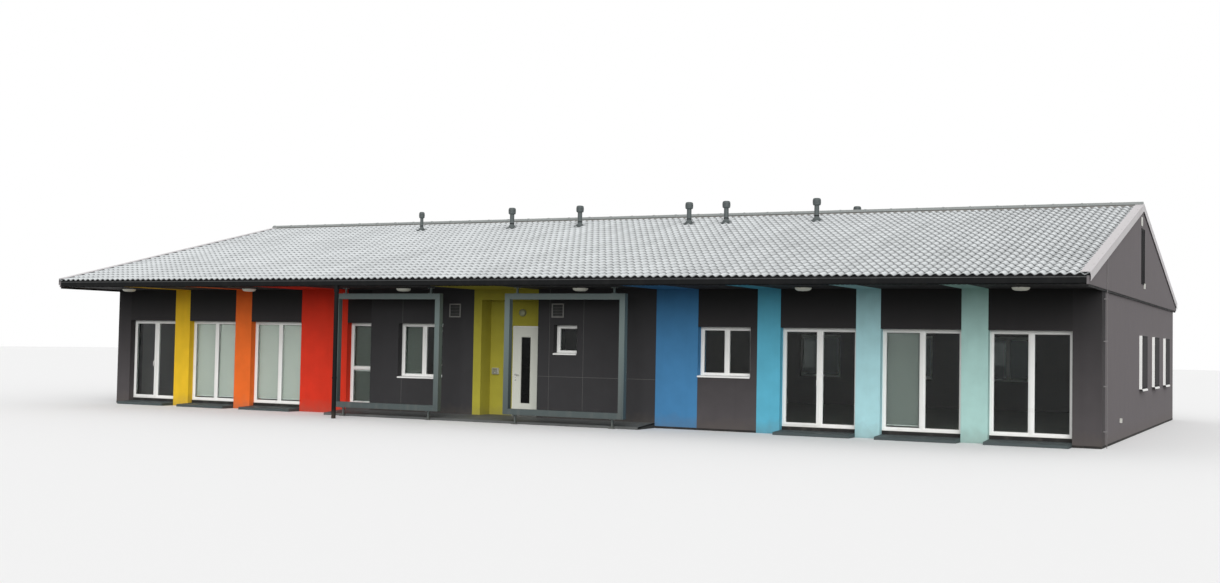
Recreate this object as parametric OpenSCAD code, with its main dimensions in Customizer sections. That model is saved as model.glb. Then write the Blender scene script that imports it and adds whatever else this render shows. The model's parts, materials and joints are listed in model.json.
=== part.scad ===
// School building: a long single-storey kindergarten with coloured piers under a deep eave.
// Millimetres, +Z up. X runs along the front, the front faces -Y, the ridge lies over Y = 0.

/* [Body of the building] */
// Length of the walls
length = 25000; // [22000:100:28000]
// Front face of the piers, measured forward from the ridge
front = 6200; // [5600:50:6800]
// Outer face of the back wall, measured back from the ridge
back = 7750; // [7000:50:8200]
// Height of the soffit and of the wall tops
soffit_z = 3000; // [2700:10:3400]
// Thickness of the outer walls
wall = 300; // [200:10:400]
// How far the window bays stand back behind the piers
recess = 150; // [100:5:300]
// Top of the ground floor slab
floor_z = 100; // [60:5:200]

/* [Roof] */
// Half the depth of the roof, ridge to eave
half_roof = 8185; // [7800:5:8600]
// Top of the tiles at the eave
eave_z = 3205; // [3100:5:3400]
// Top of the tiles at the ridge
ridge_z = 5185; // [4700:5:5600]
// Number of tile rows on each slope
rows = 24; // [16:1:30]
// Height of the step at the foot of each tile row
step = 20; // [8:1:30]
// How far the roof reaches past the end walls
verge = 75; // [40:5:150]

/* [Windows] */
// Head height of all the windows
head_z = 2200; // [2000:10:2400]
// Foot of the floor-length windows
sill_z = 160; // [80:5:200]
// Width of a window's outer frame
frame_w = 42; // [30:1:70]
// Width of a window's sash inside the frame
sash_w = 34; // [25:1:60]
// Depth of a window's frame
frame_d = 70; // [50:1:100]
// Width of the post between two sashes
post_w = 56; // [30:1:90]

/* [Doors] */
// Air round the body of a leaf that moves
gap = 7; // [5:1:12]
// How far a leaf's lip laps over its frame
lap = 12; // [8:1:16]
// Thickness of that lip
lip = 12; // [8:1:16]

/* [Entrance platform] */
// Height of the platform at the wall and in the entrance bay
deck_z = 115; // [80:5:180]
// Height of its front edge, to which the top falls
edge_z = 55; // [30:5:120]
// How far it reaches in front of the piers
deck_out = 840; // [400:10:1500]
// How far the steps of the floor-length windows reach in front of the piers
step_out = 400; // [100:10:800]

/* [Steel frames] */
// Width of the steel section
steel = 130; // [80:5:180]
// Outer width of one steel frame
steel_w = 2960; // [2400:10:3400]
// How far the frames stand in front of the piers
steel_out = 905; // [500:5:1500]

/* [Hidden] */
hx = length / 2;
inner_y = -front + recess + wall;
roof_x = hx + verge;
slope = (ridge_z - eave_z) / half_roof;
pitch = atan(slope);
soffit_t = 30;
bay_y = -front + recess;
win_y = bay_y + 15;
bay_back = -front + 420;
air = 5;
knuckle = 8;
lip_w = gap + lap;
wall_top = soffit_z + soffit_t;
// Piers: left side, right side
yellow = [-10500, -10000];
orange = [-8470, -7950];
red = [-6360, -4950];
blue = [3310, 4295];
cyan = [5640, 6150];
sky = [7760, 8270];
mint = [9880, 10400];
end_left = [-12500, -12060];
end_right = [11970, 12500];
// Middle walls and the entrance bay
strip = [-4950, -4245];
wall_a = [-4245, -1340];
bay = [-1130, 370];
wall_b = [370, 3310];
door_x = [-540, 370];
door_top = 2175;
// Windows in the middle walls, and the right side of the casement beyond the blue pier
big = [-3445, -2190, 930];
small = [775, 1370, 1560];
casement_right = 5490;
// Middle of the strip window's transom
strip_transom = 1105;
side_ys = [330, 2980, 5630];
back_xs = [-10900, -8100, -5300, -2500, 2500, 5300, 8100, 10900];

anthracite = [0.2, 0.19, 0.2];
white = [0.9, 0.9, 0.9];

// A box from two corners
module box(a, b)
    translate(a)
        cube(b - a);

// A profile in Y and Z, run along X
module along_x(x0, x1)
    translate([x0, 0, 0])
        rotate([90, 0, 90])
            linear_extrude(x1 - x0)
                children();

// Height of the plane through the tile crests, at a distance from the ridge
function roof_at(y) = ridge_z - slope * abs(y);

// A daylight hole with a bevelled bead round it, cut back from the face at y
module field(x0, x1, z0, z1, y) {
    b = 12;
    box([x0, y - 1, z0], [x1, y + frame_d + lip + 10, z1]);
    intersection() {
        translate([0, 0, z0 - b - 2])
            linear_extrude(z1 - z0 + 2 * b + 4)
                polygon([[x0 - b - 1, y - 1], [x1 + b + 1, y - 1], [x1, y + b], [x0, y + b]]);
        along_x(x0 - b - 2, x1 + b + 2)
            polygon([[y - 1, z0 - b - 1], [y + b, z0], [y + b, z1], [y - 1, z1 + b + 1]]);
    }
}

// A sash that stands 12 mm behind the face of its frame
module sash_cut(x0, x1, z0, z1, y) {
    box([x0, y - 1, z0], [x1, y + 12, z1]);
    field(x0 + sash_w, x1 - sash_w, z0 + sash_w, z1 - sash_w, y + 12);
}

// A window of sashes side by side, facing -Y; the listed fields are left open
module window(xs, z0, z1, y, open = []) {
    difference() {
        box([xs[0], y, z0], [xs[len(xs) - 1], y + frame_d, z1]);
        for (i = [0 : len(xs) - 2]) {
            x0 = xs[i] + (i == 0 ? frame_w : post_w / 2);
            x1 = xs[i + 1] - (i == len(xs) - 2 ? frame_w : post_w / 2);
            if (len(search(i, open)) == 0)
                sash_cut(x0, x1, z0 + frame_w, z1 - frame_w, y);
            else
                box([x0, y - 1, z0 + frame_w], [x1, y + frame_d + 1, z1 - frame_w]);
        }
    }
}

// The glass of a window, one pane in each closed field
module panes(xs, z0, z1, y, open = [])
    for (i = [0 : len(xs) - 2])
        if (len(search(i, open)) == 0) {
            x0 = xs[i] + (i == 0 ? frame_w : post_w / 2) + sash_w;
            x1 = xs[i + 1] - (i == len(xs) - 2 ? frame_w : post_w / 2) - sash_w;
            box([x0, y + 30, z0 + frame_w + sash_w],
                [x1, y + 54, z1 - frame_w - sash_w]);
        }

// The strip window: one frame, a fixed field below and a sash above its transom
module strip_frame() {
    z = [220, strip_transom, head_z];
    difference() {
        box([strip[0], win_y, z[0]], [strip[1], win_y + frame_d, z[2]]);
        for (i = [0, 1])
            sash_cut(strip[0] + frame_w, strip[1] - frame_w, z[i] + (i == 0 ? frame_w : 10),
                z[i + 1] - (i == 1 ? frame_w : 10), win_y);
    }
}

module strip_panes()
    for (z = [[220 + frame_w, strip_transom - 10], [strip_transom + 10, head_z - frame_w]])
        box([strip[0] + frame_w + sash_w, win_y + 30, z[0] + sash_w],
            [strip[1] - frame_w - sash_w, win_y + 54, z[1] - sash_w]);

function mid(a) = [a[0], (a[0] + a[1]) / 2, a[1]];
w1 = mid([end_left[1], yellow[0]]);
w2 = mid([yellow[1], orange[0]]);
w3 = mid([orange[1], red[0]]);
w4 = mid([blue[1], casement_right]);
w5 = mid([cyan[1], sky[0]]);
w6 = mid([sky[1], mint[0]]);
w7 = mid([mint[1], end_right[0]]);
wb = mid([big[0], big[1]]);

module floor_slab()
    color([0.5, 0.5, 0.5])
        difference() {
            union() {
                box([-hx + wall, inner_y, 0], [hx - wall, back - wall, floor_z]);
                for (w = [w1, w2, w3, w5, w6, w7])
                    box([w[0], bay_y, 0], [w[2], inner_y + 40, sill_z]);
            }
            box([wall_a[1], inner_y - 1, -1], [wall_b[1], inner_y + 130, floor_z + 20]);
        }

// The low platform in front of the middle walls: it falls to a rounded front edge
module entrance_platform()
    color([0.33, 0.32, 0.32]) {
        along_x(strip[1], blue[0])
            polygon([[-front, 0], [-front, deck_z], [-front - 60, deck_z],
                [-front - deck_out + 20, edge_z], [-front - deck_out + 8, edge_z - 4],
                [-front - deck_out, edge_z - 14], [-front - deck_out, 0]]);
        box([bay[0], -front - 1, 0], [bay[1], bay_back, deck_z]);
        box([door_x[0], bay_back - 1, 0], [bay[1], inner_y + 130, deck_z]);
    }

// One step in front of each floor-length window, its top falling to the front
module door_steps()
    color([0.32, 0.35, 0.36])
        for (w = [w1, w2, w3, w5, w6, w7])
            along_x(w[0], w[2])
                polygon([[bay_y, 0], [bay_y, 85], [-front - step_out + 10, 62],
                    [-front - step_out, 52], [-front - step_out, 0]]);

// One pier: the upright, and its band of colour on the soffit out to the eave
module pier(p) {
    box([p[0], -front, 0], [p[1], inner_y, wall_top]);
    box([p[0], -half_roof + 140, soffit_z], [p[1], -front + 10, wall_top]);
}

module end_piers()
    color(anthracite) {
        box([end_left[0], -front, 0], [end_left[1], inner_y, wall_top]);
        box([end_right[0], -front, 0], [end_right[1], inner_y, wall_top]);
    }

module pier_yellow()
    color([0.88, 0.72, 0.15])
        pier(yellow);

module pier_orange()
    color([0.87, 0.42, 0.15])
        pier(orange);

module pier_red()
    color([0.83, 0.2, 0.14])
        pier(red);

module pier_blue()
    color([0.2, 0.48, 0.72])
        pier(blue);

module pier_cyan()
    color([0.35, 0.68, 0.8])
        pier(cyan);

module pier_sky()
    color([0.62, 0.8, 0.83])
        pier(sky);

module pier_mint()
    color([0.58, 0.75, 0.72])
        pier(mint);

// The entrance bay: left cheek with the wall beside the door, lintel, ceiling of the bay and
// wall over the door
module green_bay()
    color([0.66, 0.64, 0.22]) {
        linear_extrude(soffit_z)
            polygon([[wall_a[1], -front], [bay[0], -front], [bay[0], bay_back],
                [door_x[0], bay_back], [door_x[0], inner_y + 130], [wall_a[1], inner_y + 130]]);
        box([bay[0], -front, 2760], [bay[1], bay_back, soffit_z]);
        box([door_x[0], bay_back, door_top], [bay[1], inner_y + 130, soffit_z]);
        box([wall_a[1], -half_roof + 140, soffit_z], [bay[1], inner_y + 130, wall_top]);
    }

// Walls over the windows, the low walls under the casement and the strip window, and the wall
// beside the casement, all flush with the piers
module bay_walls()
    color(anthracite) {
        for (w = [w1, w2, w3, w4, w5, w6, w7])
            box([w[0], -front, head_z], [w[2], inner_y, wall_top]);
        box([strip[0], -front, head_z], [strip[1], inner_y, wall_top]);
        box([strip[0], -front, 0], [strip[1], inner_y, 220]);
        box([w4[0], -front, 0], [w4[2], inner_y, 1150]);
        box([w4[2], -front, 0], [cyan[0], inner_y, wall_top]);
    }

module middle_walls()
    color(anthracite) {
        difference() {
            box([wall_a[0], -front, 0], [wall_a[1], inner_y, wall_top]);
            box([big[0], -front - 1, big[2]], [big[1], inner_y + 1, head_z]);
            box([-3337, -front - 1, deck_z], [-3331, -front + 6, soffit_z + 1]);
        }
        difference() {
            box([wall_b[0], -front, 0], [wall_b[1], inner_y + 130, wall_top]);
            box([small[0], -front - 1, small[2]], [small[1], inner_y + 131, head_z]);
            box([665, -front - 1, deck_z], [671, -front + 6, soffit_z + 1]);
            box([1530, -front - 1, deck_z], [1536, -front + 6, soffit_z + 1]);
            box([wall_b[0] - 1, -front - 1, 1040], [wall_b[1] + 1, -front + 6, 1046]);
        }
    }

module back_wall()
    color(anthracite)
        difference() {
            box([-hx, back - wall, 0], [hx, back, wall_top]);
            for (x = back_xs)
                box([x - 640, back - wall - 1, 930], [x + 640, back + 1, head_z]);
        }

module side_walls()
    color(anthracite) {
        box([-hx, inner_y, 0], [-hx + wall, back - wall, wall_top]);
        difference() {
            box([hx - wall, inner_y, 0], [hx, back - wall, wall_top]);
            for (y = side_ys)
                box([hx - wall - 1, y - 500, 1000], [hx + 1, y + 500, head_z]);
        }
    }

// One gable: the wall under the roof, its foot cut level from eave to eave
module gable()
    polygon([[-half_roof + 12, soffit_z - 8], [-half_roof + 12, eave_z - 65],
        [0, ridge_z - 68], [half_roof - 12, eave_z - 65], [half_roof - 12, soffit_z - 8]]);

module gables()
    color(anthracite) {
        along_x(-hx - 48, -hx)
            gable();
        difference() {
            along_x(hx, hx + 48)
                gable();
            box([hx - 1, -290, 3400], [hx + 49, 290, 4610]);
        }
    }

module ceiling()
    color([0.7, 0.7, 0.68])
        box([-hx, -front, wall_top], [hx, back, wall_top + 60]);

// Fascia board at one eave, standing on the front edge of the soffit
module fascia()
    along_x(-hx, hx)
        polygon([[-half_roof + 115, soffit_z], [-half_roof + 140, soffit_z],
            [-half_roof + 140, eave_z - 70], [-half_roof + 115, eave_z - 70]]);

// Boxed eaves: soffit boards between the coloured bands, and the fascias
module eaves()
    color([0.13, 0.13, 0.13]) {
        for (p = [[-hx, yellow[0]], [yellow[1], orange[0]], [orange[1], red[0]],
                [red[1], wall_a[1]], [wall_b[0], blue[0]], [blue[1], cyan[0]],
                [cyan[1], sky[0]], [sky[1], mint[0]], [mint[1], hx]])
            box([p[0], -half_roof + 139, soffit_z], [p[1], -front, wall_top]);
        mirror([0, 1, 0])
            fascia();
        fascia();
        box([-hx, back, soffit_z], [hx, half_roof - 139, wall_top]);
    }

// A box gutter with a rolled lip, open at the top
module gutter_profile() {
    difference() {
        translate([0, 0])
            square([108, 105]);
        translate([4, 4])
            square([100, 110]);
    }
    translate([103, 103])
        circle(r = 7, $fn = 24);
}

module gutter() {
    along_x(-hx, hx)
        translate([half_roof - 115, soffit_z + 15])
            gutter_profile();
    for (x = [-hx, hx - 3])
        along_x(x, x + 3)
            translate([half_roof - 115, soffit_z + 15])
                square([108, 112]);
}

module gutters()
    color([0.16, 0.16, 0.17]) {
        gutter();
        mirror([0, 1, 0])
            gutter();
    }

// Profile of one slope: tile rows stepped like a saw, over a flat underside
function slope_profile() = concat(
    [[0, ridge_z - 62], [0, ridge_z - step]],
    [for (i = [1 : rows]) each [
        [half_roof * i / rows, roof_at(half_roof * i / rows)],
        if (i < rows) [half_roof * i / rows, roof_at(half_roof * i / rows) - step]
    ]],
    [[half_roof, eave_z - 42], [half_roof - 90, eave_z - 40]]);

module slope_sheet()
    along_x(-roof_x + 10, roof_x - 10)
        polygon(slope_profile());

module roof_back()
    color([0.55, 0.57, 0.58])
        slope_sheet();

module roof_front()
    color([0.55, 0.57, 0.58])
        mirror([0, 1, 0])
            slope_sheet();

// Flashing over the ends of the tiles on one slope, folded down at its outer edge
module verge_cap()
    difference() {
        along_x(roof_x - 180, roof_x)
            polygon([[1, roof_at(1) + 8], [half_roof, eave_z + 8], [half_roof, eave_z - 42],
                [1, roof_at(1) - 42]]);
        along_x(roof_x - 181, roof_x - 10)
            polygon([[0, ridge_z], [half_roof + 1, roof_at(half_roof + 1)],
                [half_roof + 1, eave_z - 60], [0, ridge_z - 90]]);
    }

module verge_caps()
    color([0.85, 0.85, 0.85])
        for (a = [0, 1], b = [0, 1])
            mirror([a, 0, 0])
                mirror([0, b, 0])
                    verge_cap();

// Half-round ridge tiles, each with a collar that covers the joint
module ridge_cap()
    color([0.3, 0.31, 0.32])
        difference() {
            union() {
                along_x(-roof_x + 20, roof_x - 20)
                    translate([0, ridge_z - 38])
                        circle(r = 95);
                for (i = [0 : 38])
                    along_x(-roof_x + 20 + i * 642, -roof_x + 60 + i * 642)
                        translate([0, ridge_z - 38])
                            circle(r = 102);
            }
            along_x(-roof_x, roof_x)
                polygon([[-200, eave_z], [-200, roof_at(200) + 9], [0, ridge_z + 9],
                    [200, roof_at(200) + 9], [200, eave_z]]);
        }

// A roof vent: a collar, a pipe and a barrel-shaped rain cap
module vent(x, y, h, pipe = 60, cap = 100)
    translate([x, y, roof_at(y) + 1])
        difference() {
            rotate_extrude()
                polygon([[0, -40], [pipe + 38, -40], [pipe + 38, 14], [pipe + 26, 26],
                    [pipe + 3, 60], [pipe, 66], [pipe, h - 178], [cap - 12, h - 172],
                    [cap - 2, h - 145], [cap, h - 100], [cap - 2, h - 40], [cap - 14, h - 10],
                    [cap - 40, h], [0, h]]);
            rotate([-sign(y) * pitch, 0, 0])
                translate([0, 0, -300])
                    cube([400, 400, 600], center = true);
        }

module roof_vents()
    color([0.2, 0.21, 0.22]) {
        vent(-6325, -1150, 490, 45, 78);
        for (x = [-3390, -1310, 1830, 2845, 5210])
            vent(x, -1150, 525);
        vent(5600, 900, 450);
    }

// Round lamps under the soffit
module soffit_lamps()
    color([0.85, 0.85, 0.8])
        for (x = [-11240, -7270, -2695, 1913, 6942, 11178])
            translate([x, -7100, soffit_z])
                rotate_extrude()
                    polygon([[0, 0], [163, 0], [168, -18], [161, -40], [142, -62], [106, -76],
                        [0, -84]]);

module downpipes()
    color([0.13, 0.14, 0.14]) {
        translate([-3815, -half_roof + 62, 0])
            cylinder(r = 50, h = soffit_z + 15);
        translate([-3815, -half_roof + 62, soffit_z - 130])
            cylinder(r = 58, h = 60);
        translate([-3815, -half_roof + 62, 900])
            cylinder(r = 56, h = 40);
        translate([-9000, half_roof - 62, 0])
            cylinder(r = 50, h = soffit_z + 15);
        translate([9000, half_roof - 62, 0])
            cylinder(r = 50, h = soffit_z + 15);
    }

module front_window_frames()
    color(white) {
        window(w2, sill_z, head_z, win_y);
        window(w3, sill_z, head_z, win_y);
        window(w4, 1150, head_z, win_y);
        window(w6, sill_z, head_z, win_y);
        window(w7, sill_z, head_z, win_y);
        window(wb, big[2], head_z, win_y);
        window([small[0], small[1]], small[2], head_z, win_y);
        strip_frame();
    }

module terrace_door_frames()
    color(white)
        for (w = [w1, w5]) {
            window(w, sill_z, head_z, win_y, [0]);
            frame_knuckles(leaf_box(w), win_y, -1);
        }

module front_window_glass()
    color([0.6, 0.7, 0.72, 0.4]) {
        panes(w1, sill_z, head_z, win_y, [0]);
        panes(w2, sill_z, head_z, win_y);
        panes(w3, sill_z, head_z, win_y);
        panes(w4, 1150, head_z, win_y);
        panes(w5, sill_z, head_z, win_y, [0]);
        panes(w6, sill_z, head_z, win_y);
        panes(w7, sill_z, head_z, win_y);
        panes(wb, big[2], head_z, win_y);
        panes([small[0], small[1]], small[2], head_z, win_y);
        strip_panes();
    }

// The windows of the right wall stand proud in a white casing
module at_side(y)
    translate([hx + 62, y, 0])
        rotate([0, 0, 90])
            children();

module at_back(x)
    translate([x, back - 150, 0])
        rotate([0, 0, 180])
            children();

module rear_window_frames()
    color(white) {
        for (y = side_ys)
            at_side(y)
                window([-500, 500], 1000, head_z, 0);
        for (x = back_xs)
            at_back(x)
                window([-640, 0, 640], 930, head_z, 0);
    }

module rear_window_glass()
    color([0.6, 0.7, 0.72, 0.4]) {
        for (y = side_ys)
            at_side(y)
                panes([-500, 500], 1000, head_z, 0);
        for (x = back_xs)
            at_back(x)
                panes([-640, 0, 640], 930, head_z, 0);
    }

// A sill with a drip edge; its tail runs in under what stands on it
module sill(x0, x1, y0, z, reach, tail = 0)
    along_x(x0, x1)
        polygon([if (tail > 0) each [[y0 + tail, z], [y0 + tail, z - 6]], [y0, z - 6],
            [y0 - reach, z - 26], [y0 - reach, z - 52], [y0 - reach - 4, z - 52],
            [y0 - reach - 4, z - 20], [y0, z]]);

module window_sills()
    color(white) {
        sill(big[0] + 1, big[1] - 1, win_y, big[2] + 26, recess + 40);
        sill(small[0] + 1, small[1] - 1, win_y, small[2] + 26, recess + 40);
        sill(w4[0] + 1, w4[2] - 1, win_y, 1150 + 26, recess + 40);
        sill(strip[0] + 1, strip[1] - 1, win_y, 220 + 26, recess + 40);
        for (x = back_xs)
            at_back(x)
                sill(-639, 639, 0, 930 + 26, 190);
        for (y = side_ys)
            at_side(y)
                sill(-515, 515, 0, 1000, 16, 61);
    }

// A roller blind behind a sash: case, hanging sheet and foot bar
module blind(x0, x1, z0, z1) {
    y = win_y + frame_d;
    along_x(x0, x1)
        polygon([[y, z1 - 62], [y, z1], [y + 58, z1], [y + 58, z1 - 40], [y + 36, z1 - 62]]);
    box([x0 + 12, y + 22, z0], [x1 - 12, y + 28, z1 - 61]);
    along_x(x0 + 12, x1 - 12)
        translate([y + 25, z0])
            circle(r = 9, $fn = 24);
}

// Blinds in the two sashes of a window; the list names the sashes
module blinds(xs, z0, z1, sashes)
    for (i = sashes)
        blind(xs[i] + (i == 0 ? frame_w : post_w / 2) + 4,
            xs[i + 1] - (i == len(xs) - 2 ? frame_w : post_w / 2) - 4, z0, z1);

module window_blinds()
    color([0.7, 0.74, 0.7]) {
        for (w = [w2, w3])
            blinds(w, sill_z + 110, head_z - 8, [0, 1]);
        blinds(w6, sill_z + 110, head_z - 8, [0]);
        blinds(wb, big[2] + 80, head_z - 8, [0]);
        blinds([strip[0], strip[1]], strip_transom + 45, head_z - 8, [0]);
        blinds([strip[0], strip[1]], 220 + 80, strip_transom - 15, [0]);
    }

// A steel frame hung from the soffit and standing on two feet
module steel_frame(x0) {
    y0 = -front - steel_out;
    difference() {
        box([x0, y0 - 70, 205], [x0 + steel_w, y0 + 70, 2870]);
        box([x0 + steel, y0 - 71, 205 + steel], [x0 + steel_w - steel, y0 + 71, 2870 - steel]);
    }
    for (x = [x0 + 285, x0 + steel_w - 285]) {
        box([x - 20, y0 - 20, 2870], [x + 20, y0 + 20, soffit_z]);
        box([x - 20, y0 - 20, 0], [x + 20, y0 + 20, 205]);
    }
}

module steel_frames()
    color([0.35, 0.39, 0.41]) {
        steel_frame(-4605);
        steel_frame(65);
    }

// A square louvred grille
module grille(x, z)
    translate([x, -front, z]) {
        difference() {
            box([-153, -18, -155], [153, 0, 155]);
            box([-125, -19, -127], [125, -6, 127]);
        }
        for (i = [-3 : 3])
            along_x(-126, 126)
                polygon([[-6, i * 34 + 12], [-6, i * 34 + 6], [-16, i * 34 - 10],
                    [-16, i * 34 - 4]]);
    }

module wall_grilles()
    color([0.24, 0.25, 0.25]) {
        grille(-1852, 2512);
        grille(878, 2525);
        // Louvred hatch to the roof space, in the right gable
        difference() {
            box([hx + 1, -290, 3400], [hx + 40, 290, 4610]);
            box([hx + 12, -250, 3440], [hx + 41, 250, 4570]);
        }
        for (i = [0 : 13])
            box([hx + 11, -251, 3464 + i * 79], [hx + 30, 251, 3494 + i * 79]);
    }

module wall_fittings()
    color([0.8, 0.8, 0.78]) {
        box([-1050, bay_back - 55, 1050], [-885, bay_back, 1195]);
        translate([-276, bay_back, 2480])
            rotate([90, 0, 0])
                cylinder(r = 80, h = 45);
        box([hx + 48, 200, 3270], [hx + 73, 330, 3390]);
        box([hx, -3570, 380], [hx + 40, -3470, 470]);
        box([hx + 48, -330, 4670], [hx + 60, -110, 4870]);
    }

// Lightning conductor down the right wall and over the gable, held by clips
module conductor_rod()
    color([0.55, 0.55, 0.56]) {
        translate([hx + 62, -5950, 0])
            cylinder(r = 6, h = roof_at(5950) - 70);
        for (z = [300, 1150, 2000, 2800])
            box([hx, -5962, z], [hx + 72, -5938, z + 24]);
        for (z = [3100, 3600])
            box([hx + 48, -5962, z], [hx + 72, -5938, z + 24]);
    }

// Where the body of a leaf lies in its frame: left, right, foot, head
function leaf_box(w) = [w[0] + frame_w + gap, w[1] - post_w / 2 - gap,
    sill_z + frame_w + gap, head_z - frame_w - gap];
door_box = [door_x[0] + 40 + gap, door_x[1] - 40 - gap, deck_z + 10, door_top - 40 - gap];
function hinge_zs(b) = [b[2] + 160, (b[2] + b[3]) / 2, b[3] - 160];
function hinge_x(b, side) = side < 0 ? b[0] - lip_w - knuckle : b[1] + lip_w + knuckle;

// A leaf that opens outwards: its body stands in the frame whose face is at y, its lip laps
// over that face, and its half of each hinge is at the left (side -1) or the right (side 1)
module rebated_leaf(b, y, depth, side, foot) {
    box([b[0], y - air - 1, b[2]], [b[1], y + depth, b[3]]);
    box([b[0] - lip_w, y - air - lip, b[2] - foot], [b[1] + lip_w, y - air, b[3] + lip_w]);
    for (z = hinge_zs(b))
        translate([hinge_x(b, side), y - air - lip / 2, z - 46]) {
            cylinder(r = knuckle, h = 45);
            box([side < 0 ? 0 : -knuckle - 1, -4, 0], [side < 0 ? knuckle + 1 : 0, 4, 45]);
        }
}

// The half of each hinge that stays on the frame
module frame_knuckles(b, y, side)
    for (z = hinge_zs(b))
        translate([hinge_x(b, side), y - air - lip / 2, z]) {
            cylinder(r = knuckle - 1, h = 45);
            box([side < 0 ? -knuckle + 1 : 0, 0, 0], [side < 0 ? 0 : knuckle - 1,
                air + lip / 2 + 1, 45]);
        }

// A lever handle: plate, neck and round grip, turned about the neck
module lever(x, y, z, turn)
    translate([x, y, z]) {
        box([-14, -5, -75], [14, 0, 45]);
        rotate([90, 0, 0])
            cylinder(r = 9, h = 48);
        translate([0, -48, 0])
            rotate([0, turn, 0]) {
                sphere(r = 9);
                cylinder(r = 9, h = 112);
                translate([0, 0, 112])
                    sphere(r = 9);
            }
    }

module door_frame()
    color(white) {
        difference() {
            box([door_x[0], bay_back + 20, deck_z], [door_x[1], bay_back + 100, door_top]);
            box([door_x[0] + 40, bay_back + 19, deck_z - 1],
                [door_x[1] - 40, bay_back + 101, door_top - 40]);
        }
        frame_knuckles(door_box, bay_back + 20, 1);
    }

slot = [-310, -70, 400, 1915];

module door_leaf()
    color(white)
        difference() {
            rebated_leaf(door_box, bay_back + 20, 60, 1, 0);
            field(slot[0], slot[1], slot[2], slot[3], bay_back + 20 - air - lip);
        }

module door_glass()
    color([0.3, 0.35, 0.36, 0.5])
        box([slot[0], bay_back + 36, slot[2]], [slot[1], bay_back + 60, slot[3]]);

module door_handle()
    color([0.6, 0.6, 0.6])
        lever(door_box[0] + 45, bay_back + 20 - air - lip, 1050, 90);

module terrace_leaf(w) {
    b = leaf_box(w);
    difference() {
        rebated_leaf(b, win_y, 55, -1, lip_w);
        field(b[0] + sash_w, b[1] - sash_w, b[2] + sash_w, b[3] - sash_w, win_y - air - lip);
    }
    lever(b[1] - 8, win_y - air - lip, 1125, 180);
}

module terrace_pane(w) {
    b = leaf_box(w);
    box([b[0] + sash_w, win_y + 16, b[2] + sash_w], [b[1] - sash_w, win_y + 40, b[3] - sash_w]);
}

module terrace_door_left()
    color(white)
        terrace_leaf(w1);

module terrace_glass_left()
    color([0.6, 0.7, 0.72, 0.4])
        terrace_pane(w1);

module terrace_door_right()
    color(white)
        terrace_leaf(w5);

module terrace_glass_right()
    color([0.6, 0.7, 0.72, 0.4])
        terrace_pane(w5);

floor_slab();
entrance_platform();
door_steps();
end_piers();
pier_yellow();
pier_orange();
pier_red();
green_bay();
pier_blue();
pier_cyan();
pier_sky();
pier_mint();
bay_walls();
middle_walls();
back_wall();
side_walls();
gables();
ceiling();
eaves();
gutters();
roof_front();
roof_back();
verge_caps();
ridge_cap();
roof_vents();
soffit_lamps();
downpipes();
front_window_frames();
front_window_glass();
rear_window_frames();
rear_window_glass();
window_sills();
window_blinds();
steel_frames();
wall_grilles();
wall_fittings();
conductor_rod();
door_frame();
door_leaf();
door_glass();
door_handle();
terrace_door_frames();
terrace_door_left();
terrace_glass_left();
terrace_door_right();
terrace_glass_right();
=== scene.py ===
# %% [markdown]
# # A kindergarten under a deep eave
# The building is one long storey. Coloured piers stand between floor-length windows, a low
# roof of pressed metal tiles reaches far out in front, and two steel frames hang below it.
# The solids come ready-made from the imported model, so this script adds finishes and the
# small parts that a solid model leaves out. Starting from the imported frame, rather than from
# new walls, keeps every piece at its true size and place.

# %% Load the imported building
import json
import math
import random

import bmesh
import bpy
import numpy as np
from mathutils import Matrix, Vector

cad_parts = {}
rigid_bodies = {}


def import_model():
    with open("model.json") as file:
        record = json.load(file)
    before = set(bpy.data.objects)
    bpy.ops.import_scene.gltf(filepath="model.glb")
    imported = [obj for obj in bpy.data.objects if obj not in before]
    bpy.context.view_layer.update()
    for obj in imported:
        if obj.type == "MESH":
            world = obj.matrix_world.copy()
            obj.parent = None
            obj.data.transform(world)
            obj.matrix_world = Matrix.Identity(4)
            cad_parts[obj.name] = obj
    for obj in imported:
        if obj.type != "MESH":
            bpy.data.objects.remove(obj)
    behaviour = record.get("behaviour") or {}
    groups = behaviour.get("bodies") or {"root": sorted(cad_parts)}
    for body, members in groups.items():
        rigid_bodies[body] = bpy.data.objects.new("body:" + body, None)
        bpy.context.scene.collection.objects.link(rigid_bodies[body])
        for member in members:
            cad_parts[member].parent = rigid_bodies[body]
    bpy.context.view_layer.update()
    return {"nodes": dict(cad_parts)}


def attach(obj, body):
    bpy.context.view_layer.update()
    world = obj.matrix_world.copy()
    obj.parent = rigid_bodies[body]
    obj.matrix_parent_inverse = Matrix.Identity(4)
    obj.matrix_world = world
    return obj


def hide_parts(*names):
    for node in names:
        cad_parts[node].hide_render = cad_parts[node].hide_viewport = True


for spare in list(bpy.data.objects):
    bpy.data.objects.remove(spare)
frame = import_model()
NODE = frame["nodes"]

# %% [markdown]
# ## Camera
# The camera stood 28 m in front of the wall, a little beyond its right end, and was turned to
# the left. The vanishing points of the eave and of the upright edges gave the angles, so it
# is set by three turns and a lens. Aiming it at a target by eye would have been quicker, but
# the long front shows an error of half a degree.

# %% Stand the camera where the photograph was taken
PICTURE_WIDTH, FOCAL_PIXELS = 1220, 1409.95
SENSOR_WIDTH = 36
STANDPOINT = (16.18, -33.892, 1.782)
turn, tilt, roll = (math.radians(a) for a in (26.831, 2.159, 1.038))
ahead = Vector((-math.sin(turn) * math.cos(tilt), math.cos(turn) * math.cos(tilt),
                math.sin(tilt)))
level = Vector((math.cos(turn), math.sin(turn), 0))
upright = level.cross(ahead)
right = level * math.cos(roll) + upright * math.sin(roll)
up = upright * math.cos(roll) - level * math.sin(roll)

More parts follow.
